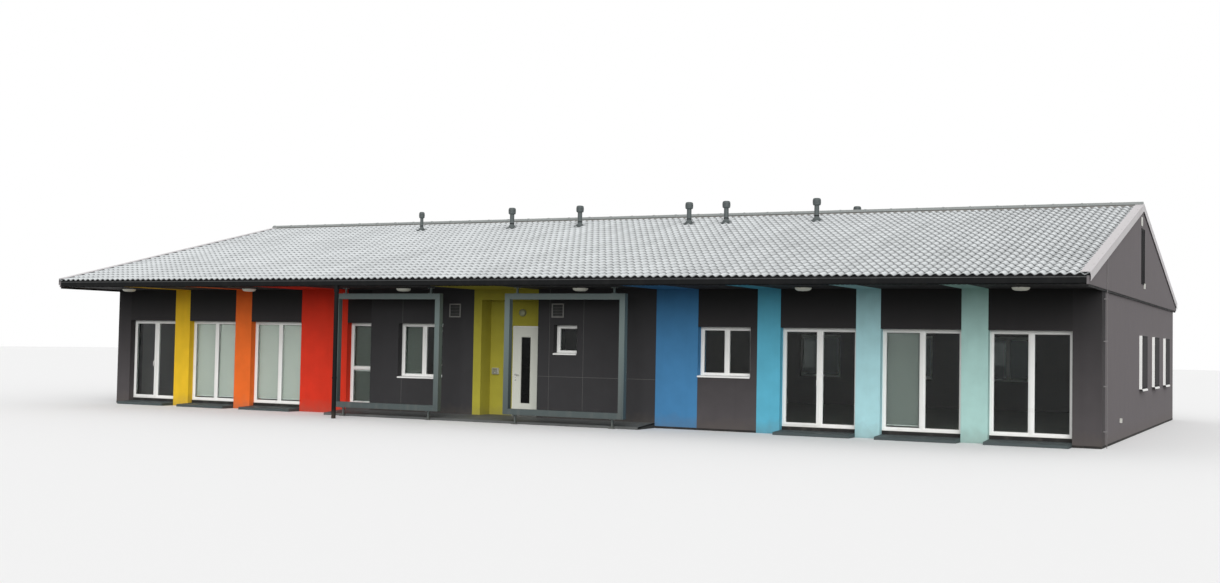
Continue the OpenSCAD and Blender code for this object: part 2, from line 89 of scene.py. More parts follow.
lens = bpy.data.cameras.new("photograph_view")
lens.sensor_width = SENSOR_WIDTH
lens.lens = SENSOR_WIDTH * FOCAL_PIXELS / PICTURE_WIDTH
lens.clip_end = 400
camera = bpy.data.objects.new("photograph_view", lens)
facing = Matrix((right, up, -ahead)).transposed().to_4x4()
camera.matrix_world = Matrix.Translation(STANDPOINT) @ facing
bpy.context.collection.objects.link(camera)
bpy.context.scene.camera = camera
print("lens:", round(lens.lens, 2), "mm")

# %% [markdown]
# ## Light
# The day was bright but hazy: shadows have no edge, and the front darkens quickly towards the
# soffit. One very broad and low sun in front gives that darkening, because the eave hides
# more and more of it from the upper wall, and an even sky fills in the roof and the gable. On
# the anthracite front the paint itself also darkens towards the eave, as painted shade.
# Several area lamps could do the same, but each would leave its own reflection in the
# windows.

# %% Helpers for nodes
def feed(tree, socket, value):
    if isinstance(value, bpy.types.NodeSocket):
        tree.links.new(value, socket)
    else:
        socket.default_value = value


def maths(tree, operation, a, b=0.0):
    node = tree.nodes.new("ShaderNodeMath")
    node.operation = operation
    feed(tree, node.inputs[0], a)
    feed(tree, node.inputs[1], b)
    return node.outputs[0]


def spread(tree, value, low, high, to_low=0.0, to_high=1.0):
    """Stretches values between low and high over a new range."""
    node = tree.nodes.new("ShaderNodeMapRange")
    for label, number in (("Value", value), ("From Min", low), ("From Max", high),
                          ("To Min", to_low), ("To Max", to_high)):
        feed(tree, node.inputs[label], number)
    return node.outputs["Result"]


def looked_at(tree):
    """1 where the camera, a mirror or a pane looks on, 0 where light only bounces."""
    ray = tree.nodes.new("ShaderNodeLightPath").outputs
    return maths(tree, "MAXIMUM", ray["Is Camera Ray"],
                 maths(tree, "MAXIMUM", ray["Is Glossy Ray"], ray["Is Transmission Ray"]))

# %% An even sky and one broad sun
SKY_LEVEL, SUN_LEVEL, SUN_BREADTH = 0.70, 2.6, math.radians(60)
TOWARDS_SUN = Vector((0.40, -0.80, 0.40))
bpy.context.scene.view_settings.view_transform = "Standard"
world = bpy.data.worlds.new("hazy_sky")
bpy.context.scene.world = world
world.use_nodes = True
sky = world.node_tree
sky.nodes.clear()
background = sky.nodes.new("ShaderNodeBackground")
background.inputs["Color"].default_value = (1, 1, 1, 1)
world_out = sky.nodes.new("ShaderNodeOutputWorld")
sky.links.new(spread(sky, looked_at(sky), 0.0, 1.0, SKY_LEVEL, 1.0),
              background.inputs["Strength"])
sky.links.new(background.outputs[0], world_out.inputs[0])

sun_data = bpy.data.lights.new("broad_sun", "SUN")
sun_data.energy = SUN_LEVEL
sun_data.angle = SUN_BREADTH
sun = bpy.data.objects.new("broad_sun", sun_data)
sun.rotation_euler = TOWARDS_SUN.to_track_quat("Z", "Y").to_euler()
bpy.context.collection.objects.link(sun)
print("sky", SKY_LEVEL, "sun", SUN_LEVEL)

# %% [markdown]
# ## A small kit for shapes
# Most of the added parts are strips, rings, turned caps and bent straps of metal. One
# collector gathers such solids and turns them into a single mesh, because a few hundred
# separate objects would be slow and hard to name. Each shape is built at its true place, in
# metres.

# %% Round the edges, and collect solids into one piece
def round_edges(obj, width, sharp=35):
    """A small round on every edge that turns by more than an angle in degrees."""
    rounding = obj.modifiers.new("rounded_edges", "BEVEL")
    rounding.width = width
    rounding.segments = 2
    rounding.limit_method = "ANGLE"
    rounding.angle_limit = math.radians(sharp)
    rounding.harden_normals = True


class Shape:
    def __init__(self):
        self.points, self.faces, self.tints = [], [], []

    def add(self, points, faces, tint=0):
        start = len(self.points)
        self.points += [tuple(p) for p in points]
        self.faces += [[start + i for i in face] for face in faces]
        self.tints += [tint] * len(faces)

    def block(self, low, high, tint=0):
        x, y, z = zip(low, high)
        self.add([(x[i], y[j], z[k]) for i in (0, 1) for j in (0, 1) for k in (0, 1)],
                 [(0, 1, 3, 2), (4, 6, 7, 5), (0, 4, 5, 1), (2, 3, 7, 6), (0, 2, 6, 4),
                  (1, 5, 7, 3)], tint)

    def prism(self, outline, axis, start, end, tint=0):
        """Pushes a flat outline along an axis; its points give the other two axes in order."""
        n = len(outline)
        points = []
        for reach in (start, end):
            for a, b in outline:
                point = [a, b]
                point.insert("XYZ".index(axis), reach)
                points.append(point)
        sides = [(i, (i + 1) % n, n + (i + 1) % n, n + i) for i in range(n)]
        self.add(points, sides + [tuple(range(n))[::-1], tuple(range(n, 2 * n))], tint)

    def turned(self, profile, centre, steps=32, facing=(0, 0, 1), tint=0):
        """Turns a profile of (radius, height) pairs about an axis through centre."""
        turn_to = Vector(facing).to_track_quat("Z", "Y")
        rings = []
        points = []
        for radius, height in profile:
            count = 1 if radius < 1e-6 else steps
            rings.append(range(len(points), len(points) + count))
            for i in range(count):
                angle = math.tau * i / steps
                spot = Vector((radius * math.cos(angle), radius * math.sin(angle), height))
                points.append(Vector(centre) + turn_to @ spot)
        faces = []
        for a, b in zip(rings, rings[1:]):
            for i in range(steps):
                j = (i + 1) % steps
                if len(a) == 1 and len(b) > 1:
                    faces.append((a[0], b[i], b[j]))
                elif len(b) == 1 and len(a) > 1:
                    faces.append((a[i], b[0], a[j]))
                elif len(a) > 1:
                    faces.append((a[i], b[i], b[j], a[j]))
        for ring in (rings[0], rings[-1]):
            if len(ring) > 1:
                faces.append(tuple(ring))
        self.add(points, faces, tint)

    def tube(self, path, radius, sides=12):
        """A round bar along a path, with mitred bends."""
        path = [Vector(p) for p in path]
        points, faces = [], []
        for i, spot in enumerate(path):
            before = (spot - path[i - 1]).normalized() if i else None
            after = (path[i + 1] - spot).normalized() if i < len(path) - 1 else None
            along = ((before or after) + (after or before)).normalized()
            side = along.orthogonal().normalized() if i == 0 else side - along * side.dot(along)
            side.normalize()
            other = along.cross(side)
            for k in range(sides):
                angle = math.tau * k / sides
                points.append(spot + radius * (side * math.cos(angle) + other * math.sin(angle)))
        for i in range(len(path) - 1):
            for k in range(sides):
                j = (k + 1) % sides
                a, b = i * sides, (i + 1) * sides
                faces.append((a + k, a + j, b + j, b + k))
        faces.append(tuple(range(sides))[::-1])
        faces.append(tuple(range(len(points) - sides, len(points))))
        self.add(points, faces)

    def border(self, facing, side, upright, depth, width, tint=0):
        """Four strips round a rectangle in a wall that faces along X or Y."""
        (a0, a1), (z0, z1), (d0, d1) = side, upright, depth
        between = (a0 + width, a1 - width)
        for (a, b), (low_z, high_z) in (
                ((a0, a0 + width), (z0, z1)), ((a1 - width, a1), (z0, z1)),
                (between, (z0, z0 + width)), (between, (z1 - width, z1))):
            if facing == "X":
                self.block((d0, a, low_z), (d1, b, high_z), tint)
            else:
                self.block((a, d0, low_z), (b, d1, high_z), tint)

    def bolt(self, centre, radius, facing=(0, 0, 1), tint=0):
        """A six-sided head on a washer."""
        self.turned([(radius * 1.6, 0), (radius * 1.6, radius * 0.3), (0, radius * 0.3)], centre,
                    20, facing, tint)
        self.turned([(radius, radius * 0.3), (radius, radius), (radius * 0.8, radius * 1.15),
                     (0, radius * 1.15)], centre, 6, facing, tint)

    def piece(self, name, materials, body="building", slot=None, bevel=0.0, smooth=35):
        mesh = bpy.data.meshes.new(name)
        mesh.from_pydata(self.points, [], self.faces)
        mesh.update()
        for material in materials:
            mesh.materials.append(material)
        mesh.polygons.foreach_set("material_index", self.tints)
        cleaned = bmesh.new()
        cleaned.from_mesh(mesh)
        bmesh.ops.recalc_face_normals(cleaned, faces=cleaned.faces)
        cleaned.to_mesh(mesh)
        cleaned.free()
        obj = bpy.data.objects.new(name, mesh)
        bpy.context.collection.objects.link(obj)
        mesh.set_sharp_from_angle(angle=math.radians(smooth))
        if bevel:
            round_edges(obj, bevel, smooth)
        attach(obj, body)
        print(f"{name}: {len(mesh.polygons)} faces on {body}")
        return obj


def grid_faces(columns, rows):
    """Four-sided faces for a grid of points that is stored row by row."""
    step = columns + 1
    return [(a, a + 1, a + step + 1, a + step) for row in range(rows)
            for a in range(row * step, row * step + columns)]

# %% [markdown]
# ## Reading places from the frame
# Seals, caps and blinds sit on panes of glass, so their places are read from the panes
# themselves. Writing the numbers out again would be shorter, but a changed window would
# then leave its seals behind.

# %% Find the separate solids of a node
def solids(node):
    """The low and high corner of each separate solid of a node, sorted from the left."""
    mesh = NODE[node].data
    spot_of = {}
    merged = [spot_of.setdefault(tuple(round(c, 5) for c in v.co), len(spot_of))
              for v in mesh.vertices]
    leader = list(range(len(spot_of)))

    def lead(i):
        while leader[i] != i:
            leader[i] = leader[leader[i]]
            i = leader[i]
        return i

    for face in mesh.polygons:
        first = lead(merged[face.vertices[0]])
        for corner in face.vertices[1:]:
            leader[lead(merged[corner])] = first
    groups = {}
    for spot, i in spot_of.items():
        groups.setdefault(lead(i), []).append(spot)
    boxes = [(Vector(map(min, zip(*g))), Vector(map(max, zip(*g)))) for g in groups.values()]
    return sorted(boxes, key=lambda b: (round(b[0].x, 3), round(b[0].z, 3)))


front_panes = solids("front_window_glass")
rear_panes = solids("rear_window_glass")
print("panes in front:", len(front_panes), "elsewhere:", len(rear_panes))

# %% [markdown]
# ## Shared surface effects
# Nothing outdoors has one flat colour. Painted render has a sandy grain and broad uneven
# patches, rain splashes soil up from the ground, and water leaves faint streaks. These
# effects are node groups, built once and placed in each material with its own values. Their
# patterns are set in metres, so a grain is equally fine on a pier and on the long back wall.

# %% Helpers for groups and patterns
def new_group(name, inputs, outputs):
    tree = bpy.data.node_groups.new(name, "ShaderNodeTree")
    for label, value in inputs.items():
        tree.interface.new_socket(
            name=label, in_out="INPUT", socket_type="NodeSocketFloat").default_value = value
    for label in outputs:
        tree.interface.new_socket(name=label, in_out="OUTPUT", socket_type="NodeSocketFloat")
    return tree, tree.nodes.new("NodeGroupInput"), tree.nodes.new("NodeGroupOutput")


def object_axes(tree):
    """The place on the piece, in metres, as separate X, Y and Z."""
    place = tree.nodes.new("ShaderNodeTexCoord")
    axes = tree.nodes.new("ShaderNodeSeparateXYZ")
    tree.links.new(place.outputs["Object"], axes.inputs[0])
    return axes.outputs


def noise(tree, scale, detail=3.0, stretch=(1, 1, 1)):
    place = tree.nodes.new("ShaderNodeTexCoord")
    fit = tree.nodes.new("ShaderNodeMapping")
    fit.inputs["Scale"].default_value = stretch
    tree.links.new(place.outputs["Object"], fit.inputs["Vector"])
    node = tree.nodes.new("ShaderNodeTexNoise")
    tree.links.new(fit.outputs["Vector"], node.inputs["Vector"])
    feed(tree, node.inputs["Scale"], scale)
    node.inputs["Detail"].default_value = detail
    return node.outputs["Fac"]


def blended(tree, factor, first, second):
    node = tree.nodes.new("ShaderNodeMix")
    node.data_type = "RGBA"
    feed(tree, node.inputs[0], factor)
    feed(tree, node.inputs[6], first)
    feed(tree, node.inputs[7], second)
    return node.outputs[2]

# %% Grain: fine and broad unevenness
grain, group_in, group_out = new_group("grain", {"Scale": 100.0}, ("Fine", "Broad", "Height"))
fine = noise(grain, group_in.outputs["Scale"], 4.0)
broad = noise(grain, maths(grain, "MULTIPLY", group_in.outputs["Scale"], 0.012), 5.0)
height = maths(grain, "ADD", maths(grain, "MULTIPLY", fine, 0.8),
               maths(grain, "MULTIPLY", broad, 0.2))
for label, value in (("Fine", fine), ("Broad", broad), ("Height", height)):
    grain.links.new(value, group_out.inputs[label])
print("group:", grain.name)

# %% Weather: soil splashed from the ground, streaks of water, and a height ramp for painted shade
weather, group_in, group_out = new_group("weather", {"Reach": 0.35},
                                         ("Splash", "Streak", "Fade"))
height = object_axes(weather)["Z"]
uneven = maths(weather, "MULTIPLY", noise(weather, 6.0, 4.0), 1.1)
raised = maths(weather, "DIVIDE", height, group_in.outputs["Reach"])
splash = spread(weather, maths(weather, "ADD", raised, uneven), 0.5, 1.5, 1.0, 0.0)
streak = spread(weather, noise(weather, 5.0, 5.0, (1, 1, 0.06)), 0.5, 0.78)
# A ramp over height, 1 near the ground and 0 under the eave, along which some paints lay painted
# shade
shade_ramp = spread(weather, height, 0.3, 2.8, 1.0, 0.0)
for label, value in (("Splash", splash), ("Streak", streak), ("Fade", shade_ramp)):
    weather.links.new(value, group_out.inputs[label])
print("group:", weather.name)

# %% Roof soil and shade: dirt marks that run down the slope, painted shade in the valleys and under the laps
soil_and_shade, group_in, group_out = new_group(
    "roof_soil", {"Wave": 0.18, "Shift": 0.0, "Row": 0.34}, ("Soil", "Shine", "Valley", "Lap"))
axes = object_axes(soil_and_shade)
phase = maths(soil_and_shade, "DIVIDE", maths(soil_and_shade, "ADD", axes["X"], group_in.outputs["Shift"]),
              group_in.outputs["Wave"])
crest = maths(soil_and_shade, "COSINE", maths(soil_and_shade, "MULTIPLY", phase, math.tau))
valley = maths(soil_and_shade, "POWER", spread(soil_and_shade, crest, -1.0, 1.0), 2.2)
# The four millimetres keep the marks off the exact line of a step, where they would flicker
from_ridge = maths(soil_and_shade, "ADD", maths(soil_and_shade, "ABSOLUTE", axes["Y"]), 0.004)
along_row = maths(soil_and_shade, "FRACT", maths(soil_and_shade, "DIVIDE", from_ridge, group_in.outputs["Row"]))
lap = spread(soil_and_shade, along_row, 0.02, 0.24, 1.0, 0.0)
runs = spread(soil_and_shade, noise(soil_and_shade, 4.0, 5.0, (1, 0.08, 0.3)), 0.42, 0.75)
patches = spread(soil_and_shade, noise(soil_and_shade, 0.6, 5.0), 0.35, 0.75)
dirt = maths(soil_and_shade, "ADD", maths(soil_and_shade, "MULTIPLY", runs, 0.6),
             maths(soil_and_shade, "MULTIPLY", patches, 0.4))
for label, value in (("Valley", valley), ("Lap", lap), ("Soil", dirt),
                     ("Shine", noise(soil_and_shade, 30.0, 2.0))):
    soil_and_shade.links.new(value, group_out.inputs[label])
print("group:", soil_and_shade.name)

# %% [markdown]
# ## Finishes
# A finish starts as a Principled shader whose even values sit on its own sockets. What
# changes over the surface, which is colour, roughness and bump, comes from the groups. The
# walls share one recipe and differ in paint, as they do on the building; the anthracite is
# also laid in lighter and darker copies, and some of them darken towards the eave, as painted
# light and shade.

# %% Start a material
def finish(name, roughness, **values):
    material = bpy.data.materials.new(name)
    material.use_nodes = True
    tree = material.node_tree
    shader = tree.nodes["Principled BSDF"]
    shader.inputs["Roughness"].default_value = roughness
    for label, value in values.items():
        shader.inputs[label.replace("_", " ")].default_value = value
    return material, tree, shader


def use(tree, group, **values):
    node = tree.nodes.new("ShaderNodeGroup")
    node.node_tree = group
    for label, value in values.items():
        node.inputs[label].default_value = value
    return node.outputs


def shaded(colour, level):
    return (*(min(1.0, c * level) for c in colour), 1.0)


def mottled(tree, mask, colour, low, high):
    """One colour that wanders between two levels of itself."""
    return blended(tree, mask, shaded(colour, low), shaded(colour, high))


def stained(tree, base, mask, amount, colour):
    """Lays a colour over the base where the mask is, up to an amount."""
    return blended(tree, maths(tree, "MULTIPLY", mask, amount), base, colour)


def lay_on(tree, shader, colour, mask, smooth, rough):
    """Gives the shader its colour, and a roughness that follows a mask."""
    tree.links.new(colour, shader.inputs["Base Color"])
    tree.links.new(spread(tree, mask, 0.3, 0.7, smooth, rough), shader.inputs["Roughness"])


def bump(tree, shader, value, depth, strength=1.0):
    node = tree.nodes.new("ShaderNodeBump")
    node.inputs["Strength"].default_value = strength
    node.inputs["Distance"].default_value = depth
    tree.links.new(value, node.inputs["Height"])
    tree.links.new(node.outputs["Normal"], shader.inputs["Normal"])

# %% Painted render
SOIL = (0.16, 0.13, 0.10, 1.0)


def painted_render(name, colour, soiling=0.35, tone_and_lit_foot=None):
    material, tree, shader = finish(name, 0.85, Specular_IOR_Level=0.1)
    texture = use(tree, grain, Scale=260.0)
    marks = use(tree, weather, Reach=0.35)
    paint = mottled(tree, texture["Broad"], colour, 0.86, 1.14)
    # A second colour at the foot leaves the paint lighter near the ground and darker towards the
    # eave: painted shade from the eave.
    if tone_and_lit_foot:
        pale = mottled(tree, texture["Broad"], tone_and_lit_foot, 0.86, 1.14)
        paint = blended(tree, marks["Fade"], paint, pale)
    sandy = blended(tree, spread(tree, texture["Fine"], 0.3, 0.7, 0.0, 0.10), paint,
                    shaded(colour, 0.55))
    washed = stained(tree, sandy, marks["Streak"], 0.12, shaded(colour, 0.6))
    soiled = stained(tree, washed, marks["Splash"], soiling, SOIL)
    lay_on(tree, shader, soiled, texture["Broad"], 0.78, 0.92)
    bump(tree, shader, texture["Height"], 0.0015, 0.5)
    return material


WALL_PAINT = {
    "pier_yellow": (0.83, 0.52, 0.030), "pier_orange": (0.86, 0.165, 0.030),
    "pier_red": (0.70, 0.042, 0.020), "green_bay": (0.39, 0.35, 0.047),
    "pier_blue": (0.064, 0.22, 0.43), "pier_cyan": (0.115, 0.45, 0.61),
    "pier_sky": (0.42, 0.70, 0.74), "pier_mint": (0.42, 0.65, 0.61),
}
for node, colour in WALL_PAINT.items():
    NODE[node].data.materials[0] = painted_render("paint_of_" + node, colour)
# The anthracite walls are one paint, laid in copies that carry painted light and shade. The front
# copies run from a lighter foot to a darker top under the eave, as painted shade, and the bay
# walls are a darker copy still; the side walls, back wall and gables take a much lighter copy, as
# painted light; the middle walls take a copy at their own level.
LIT_FOOT_ANTHRACITE = (0.088, 0.080, 0.083)
front_dark = painted_render("anthracite_front", (0.030, 0.029, 0.030), 0.22, LIT_FOOT_ANTHRACITE)
shade_dark = painted_render("anthracite_in_shade", (0.024, 0.0235, 0.024), 0.22, LIT_FOOT_ANTHRACITE)
middle_dark = painted_render("anthracite_middle", (0.044, 0.043, 0.045), 0.22)
lit_side_anthracite = painted_render("anthracite_lit_side", (0.176, 0.161, 0.167), 0.22)
DARK_WALLS = {"end_piers": front_dark, "bay_walls": shade_dark, "middle_walls": middle_dark,
              "back_wall": lit_side_anthracite, "side_walls": lit_side_anthracite, "gables": lit_side_anthracite}
for node, paint in DARK_WALLS.items():
    NODE[node].data.materials[0] = paint
print("painted walls:", len(WALL_PAINT) + len(DARK_WALLS))

# %% Coated metal: gutters, flashings, vents and steel
def coated_metal(name, colour, roughness, metallic=0.0, depth=0.0, sheen=0.5, dust=0.15,
                 foot=None):
    material, tree, shader = finish(name, roughness, Metallic=metallic,
                                    Specular_IOR_Level=sheen)
    texture = use(tree, grain, Scale=90.0)
    marks = use(tree, weather, Reach=0.25)
    coat = mottled(tree, texture["Broad"], colour, 0.88, 1.12)
    # A foot colour, where one is given, is painted shade that the coat turns to near the ground.
    if foot:
        coat = blended(tree, marks["Fade"], coat, shaded(foot, 1.0))
    dusty = stained(tree, coat, marks["Streak"], dust, (0.30, 0.28, 0.25, 1.0))
    soiled = stained(tree, dusty, marks["Splash"], 0.3, SOIL)
    lay_on(tree, shader, soiled, texture["Broad"], roughness - 0.06, roughness + 0.10)
    if depth:
        bump(tree, shader, texture["Height"], depth, 0.4)
    return material


dark_metal = coated_metal("dark_gutter_metal", (0.012, 0.0125, 0.013), 0.6, sheen=0.04,
                          dust=0.02)
# The rim's lighter grey is a painted highlight along the gutter.
rim_highlight_paint = coated_metal("rim_painted_highlight", (0.060, 0.062, 0.063), 0.4)
vent_metal = coated_metal("vent_pipe", (0.072, 0.085, 0.085), 0.5, sheen=0.3, dust=0.05)
ridge_metal = coated_metal("ridge_tile", (0.20, 0.215, 0.21), 0.5, depth=0.0008)
flashing = coated_metal("pale_flashing", (0.50, 0.475, 0.485), 0.42)
# The blue-grey steel turns to a darker foot colour towards the ground: painted shade on the lower
# frames.
steel_paint = coated_metal("blue_grey_steel", (0.138, 0.184, 0.178), 0.42, depth=0.0004,
                           foot=(0.056, 0.074, 0.074))
grille_paint = coated_metal("grille_paint", (0.075, 0.078, 0.076), 0.5)
# Black for insect mesh, slots and screens; on the roof boarding and the frames on the right
# wall's windows it is painted shade.
black_mesh_and_shade = coated_metal("black_insect_mesh_and_painted_shade", (0.010, 0.010, 0.011), 0.7, sheen=0.1,
                          dust=0.02)
bare_metal = coated_metal("dull_aluminium", (0.45, 0.45, 0.45), 0.42, 0.9)
rod_metal = coated_metal("weathered_rod", (0.21, 0.20, 0.20), 0.6, 0.2, sheen=0.2)
zinc = coated_metal("zinc_plated_bolt", (0.50, 0.50, 0.48), 0.35, 0.9)
handle_steel = coated_metal("handle_steel", (0.55, 0.55, 0.54), 0.28, 1.0)
print("materials so far:", len(bpy.data.materials))

# %% [markdown]
# The roof is thin coated steel, pressed into rows of waves that imitate clay pantiles. Rain
# leaves dirt in streaks down the slope, and the valleys of the waves and the foot of each lap
# are coloured darker as painted shade, so the coating has to know where they are. It reads the
# place on the roof, with the same measures that the sheets are pressed to, because a texture
# laid on by eye would drift away from the waves.

# %% Measures of the roof, and the coating of its sheets
HALF_ROOF, EAVE, RIDGE = 8.185, 3.205, 5.185
SLOPE = (RIDGE - EAVE) / HALF_ROOF
ROWS, STEP = 25, 0.022
WAVES, WAVE_DEPTH, SHEET_END = 148, 0.040, 12.565
VALLEY = 0.40
PITCH = 2 * SHEET_END / WAVES


def roof_coating(name, colour):
    material, tree, shader = finish(name, 0.5, Specular_IOR_Level=0.12)
    marks = use(tree, soil_and_shade, Wave=PITCH, Shift=SHEET_END - VALLEY * PITCH, Row=HALF_ROOF / ROWS)
    texture = use(tree, grain, Scale=400.0)
    valley_and_lap_shade = shaded(colour, 0.16)
    aged = mottled(tree, marks["Soil"], colour, 1.08, 0.80)
    specked = blended(tree, spread(tree, texture["Fine"], 0.55, 0.75, 0.0, 0.2), aged,
                      shaded(colour, 0.6))
    # The valleys and the foot of each lap are darkened: painted shade.
    valleys = stained(tree, specked, marks["Valley"], 0.36, valley_and_lap_shade)
    lapped = stained(tree, valleys, marks["Lap"], 0.68, valley_and_lap_shade)
    tree.links.new(lapped, shader.inputs["Base Color"])
    shine = spread(tree, marks["Shine"], 0.3, 0.7, 0.40, 0.54)
    duller = maths(tree, "ADD", shine, maths(tree, "MULTIPLY", marks["Valley"], 0.3))
    tree.links.new(duller, shader.inputs["Roughness"])
    bump(tree, shader, texture["Height"], 0.0006, 0.4)
    return material


roof_sheet = roof_coating("grey_tile_sheet", (0.625, 0.65, 0.66))
print("wave pitch:", round(PITCH * 1000, 1), "mm, row:", round(HALF_ROOF / ROWS * 1000, 1), "mm")

# %% White plastic, door paint, boards and stone
def plastic(name, colour, roughness, soiling=0.25, sheen=0.5):
    material, tree, shader = finish(name, roughness, Specular_IOR_Level=sheen)
    texture = use(tree, grain, Scale=220.0)
    marks = use(tree, weather, Reach=0.30)
    even = mottled(tree, texture["Broad"], colour, 0.95, 1.04)
    rained = stained(tree, even, marks["Streak"], 0.10, (0.42, 0.40, 0.34, 1.0))
    soiled = stained(tree, rained, marks["Splash"], soiling, (0.30, 0.26, 0.20, 1.0))
    lay_on(tree, shader, soiled, texture["Broad"], roughness - 0.05, roughness + 0.08)
    bump(tree, shader, texture["Height"], 0.0003, 0.25)
    return material


def stone(name, colour, scale, depth, roughness=0.8):
    material, tree, shader = finish(name, roughness)
    texture = use(tree, grain, Scale=scale)
    patch = mottled(tree, texture["Broad"], colour, 0.72, 1.25)
    gritty = blended(tree, spread(tree, texture["Fine"], 0.35, 0.7, 0.0, 0.45), patch,
                     shaded(colour, 1.7))
    lay_on(tree, shader, gritty, texture["Fine"], roughness - 0.1, roughness + 0.1)
    bump(tree, shader, texture["Height"], depth, 0.7)
    return material


frame_white = plastic("white_window_profile", (0.86, 0.86, 0.84), 0.32)
door_white = plastic("white_door_coating", (0.68, 0.69, 0.62), 0.36)
fitting_white = plastic("pale_housing", (0.60, 0.60, 0.55), 0.4)
# The door lamp's grey-green is painted shade, the look of the lamp in the shade of the green bay.
lamp_painted_shade = plastic("lamp_body_painted_shade", (0.24, 0.25, 0.15), 0.45)
joint_grey = plastic("grey_joint_profile", (0.105, 0.105, 0.10), 0.5)
rim_grey = plastic("grey_grille_rim", (0.17, 0.165, 0.155), 0.5)
seal_black = plastic("black_seal", (0.02, 0.02, 0.02), 0.55)
intercom_grey = plastic("intercom_face", (0.24, 0.24, 0.20), 0.3)
soffit_paint = plastic("dark_soffit_board", (0.012, 0.012, 0.013), 0.7, sheen=0.15)
# Near-black for the painted shadow strips at the foot of the walls.
shadow_line_black = plastic("painted_shadow_line", (0.018, 0.018, 0.019), 0.8, 0.04, sheen=0.15)
ceiling_paint = plastic("ceiling_board", (0.55, 0.55, 0.53), 0.7, 0.0)
opal = plastic("opal_lamp_cover", (0.80, 0.80, 0.72), 0.3, 0.0)
# The lamps are not lit; a faint emission on their opal covers is painted light that lifts them
# out of the eave's shade.
painted_glow = opal.node_tree.nodes["Principled BSDF"].inputs
painted_glow["Emission Color"].default_value = (1.0, 1.0, 0.86, 1.0)
painted_glow["Emission Strength"].default_value = 0.07
floor_concrete = stone("floor_concrete", (0.36, 0.36, 0.32), 140.0, 0.002)
dark_stone = stone("dark_step_stone", (0.075, 0.079, 0.078), 320.0, 0.0012, 0.7)
pale_slab = stone("lighter_step_stone", (0.088, 0.092, 0.090), 320.0, 0.0012, 0.7)
joint_sand = stone("joint_sand", (0.030, 0.029, 0.027), 500.0, 0.001, 0.9)
step_grey = stone("blue_grey_step", (0.042, 0.056, 0.058), 300.0, 0.001, 0.6)
print("materials so far:", len(bpy.data.materials))

# %% Glass
def window_pane(name, tint, density):
    """Glass that rolls a little; its density is the index of refraction."""
    material, tree, shader = finish(
        name, 0.0, Transmission_Weight=1.0, IOR=density, Base_Color=(*tint, 1.0))
    bump(tree, shader, noise(tree, 1.6, 1.0), 0.004, 0.10)
    return material


clear_glass = window_pane("window_glass", (0.86, 0.92, 0.90), 1.24)
# The rear panes are tinted almost black, as painted shade, so the windows of the back and side
# walls stay dark.
dark_rear_glass = window_pane("rear_glass_painted_dark", (0.010, 0.012, 0.012), 1.4)
door_tint = window_pane("dark_door_glass", (0.08, 0.085, 0.08), 1.2)
print("glass:", clear_glass.name, dark_rear_glass.name, door_tint.name)

# %% [markdown]
# Blinds are woven, so their finish is a weave: two fine waves cross, and the threads show as
# small hills. A picture of cloth would blur when seen from near; waves stay sharp.

# %% Blind fabric
weave, group_in, group_out = new_group("weave", {"Threads": 900.0}, ("Thread",))
axes = object_axes(weave)
across, upward = (maths(weave, "SINE", maths(weave, "MULTIPLY", axes[axis],
                                             group_in.outputs["Threads"])) for axis in "XZ")
weave.links.new(spread(weave, maths(weave, "MULTIPLY", across, upward), -1.0, 1.0),
                group_out.inputs["Thread"])


def blind_cloth(name, colour):
    material, tree, shader = finish(name, 0.85, Specular_IOR_Level=0.2)
    threads = use(tree, weave, Threads=2400.0)
    texture = use(tree, grain, Scale=120.0)
    woven = mottled(tree, threads["Thread"], colour, 0.90, 1.06)
    tone_and_lit_foot = stained(tree, woven, texture["Broad"], 0.3, shaded(colour, 0.82))
    tree.links.new(tone_and_lit_foot, shader.inputs["Base Color"])
    bump(tree, shader, threads["Thread"], 0.0004, 0.5)
    return material


pale_blind = blind_cloth("pale_blind_cloth", (0.56, 0.57, 0.52))
dark_blind = blind_cloth("dark_blind_cloth", (0.20, 0.215, 0.20))
green_blind = blind_cloth("grey_green_blind_cloth", (0.082, 0.092, 0.080))
# A black sheet for the painted shade over the right wall's windows.
painted_shade_sheet = blind_cloth("black_painted_shade_sheet", (0.030, 0.028, 0.030))
print("cloths:", pale_blind.name, dark_blind.name, green_blind.name, painted_shade_sheet.name)

# %% [markdown]
# ## Dressing the solids
# Every solid that keeps its shape gets its finish here. Edges of frames, sills and steel are
# also rounded with a bevel, since no cast or pressed edge is a perfect corner. The packed
# meshes are cut along their edges, so a weld comes first; without it the bevel would find
# nothing to round.

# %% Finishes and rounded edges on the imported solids
DRESS = {
    "floor_slab": (floor_concrete, 0), "ceiling": (ceiling_paint, 0), "eaves": (soffit_paint, 0),
    "door_steps": (step_grey, 0.003), "gutters": (dark_metal, 0), "downpipes": (dark_metal, 0),
    "verge_caps": (flashing, 0.002), "ridge_cap": (ridge_metal, 0), "roof_vents": (vent_metal, 0),
    "soffit_lamps": (opal, 0), "front_window_frames": (frame_white, 0.0025),
    "rear_window_frames": (frame_white, 0.0025), "terrace_door_frames": (frame_white, 0.0025),
    "terrace_door_left": (frame_white, 0.0025), "terrace_door_right": (frame_white, 0.0025),
    "window_sills": (frame_white, 0.0012), "door_frame": (frame_white, 0.003),
    "door_leaf": (door_white, 0.003), "door_handle": (handle_steel, 0.0015),
    "steel_frames": (steel_paint, 0.004), "wall_grilles": (grille_paint, 0.001),
    "wall_fittings": (fitting_white, 0.006), "conductor_rod": (rod_metal, 0),
    "front_window_glass": (clear_glass, 0), "rear_window_glass": (dark_rear_glass, 0),
    "terrace_glass_left": (clear_glass, 0), "terrace_glass_right": (clear_glass, 0),
    "door_glass": (door_tint, 0),
}


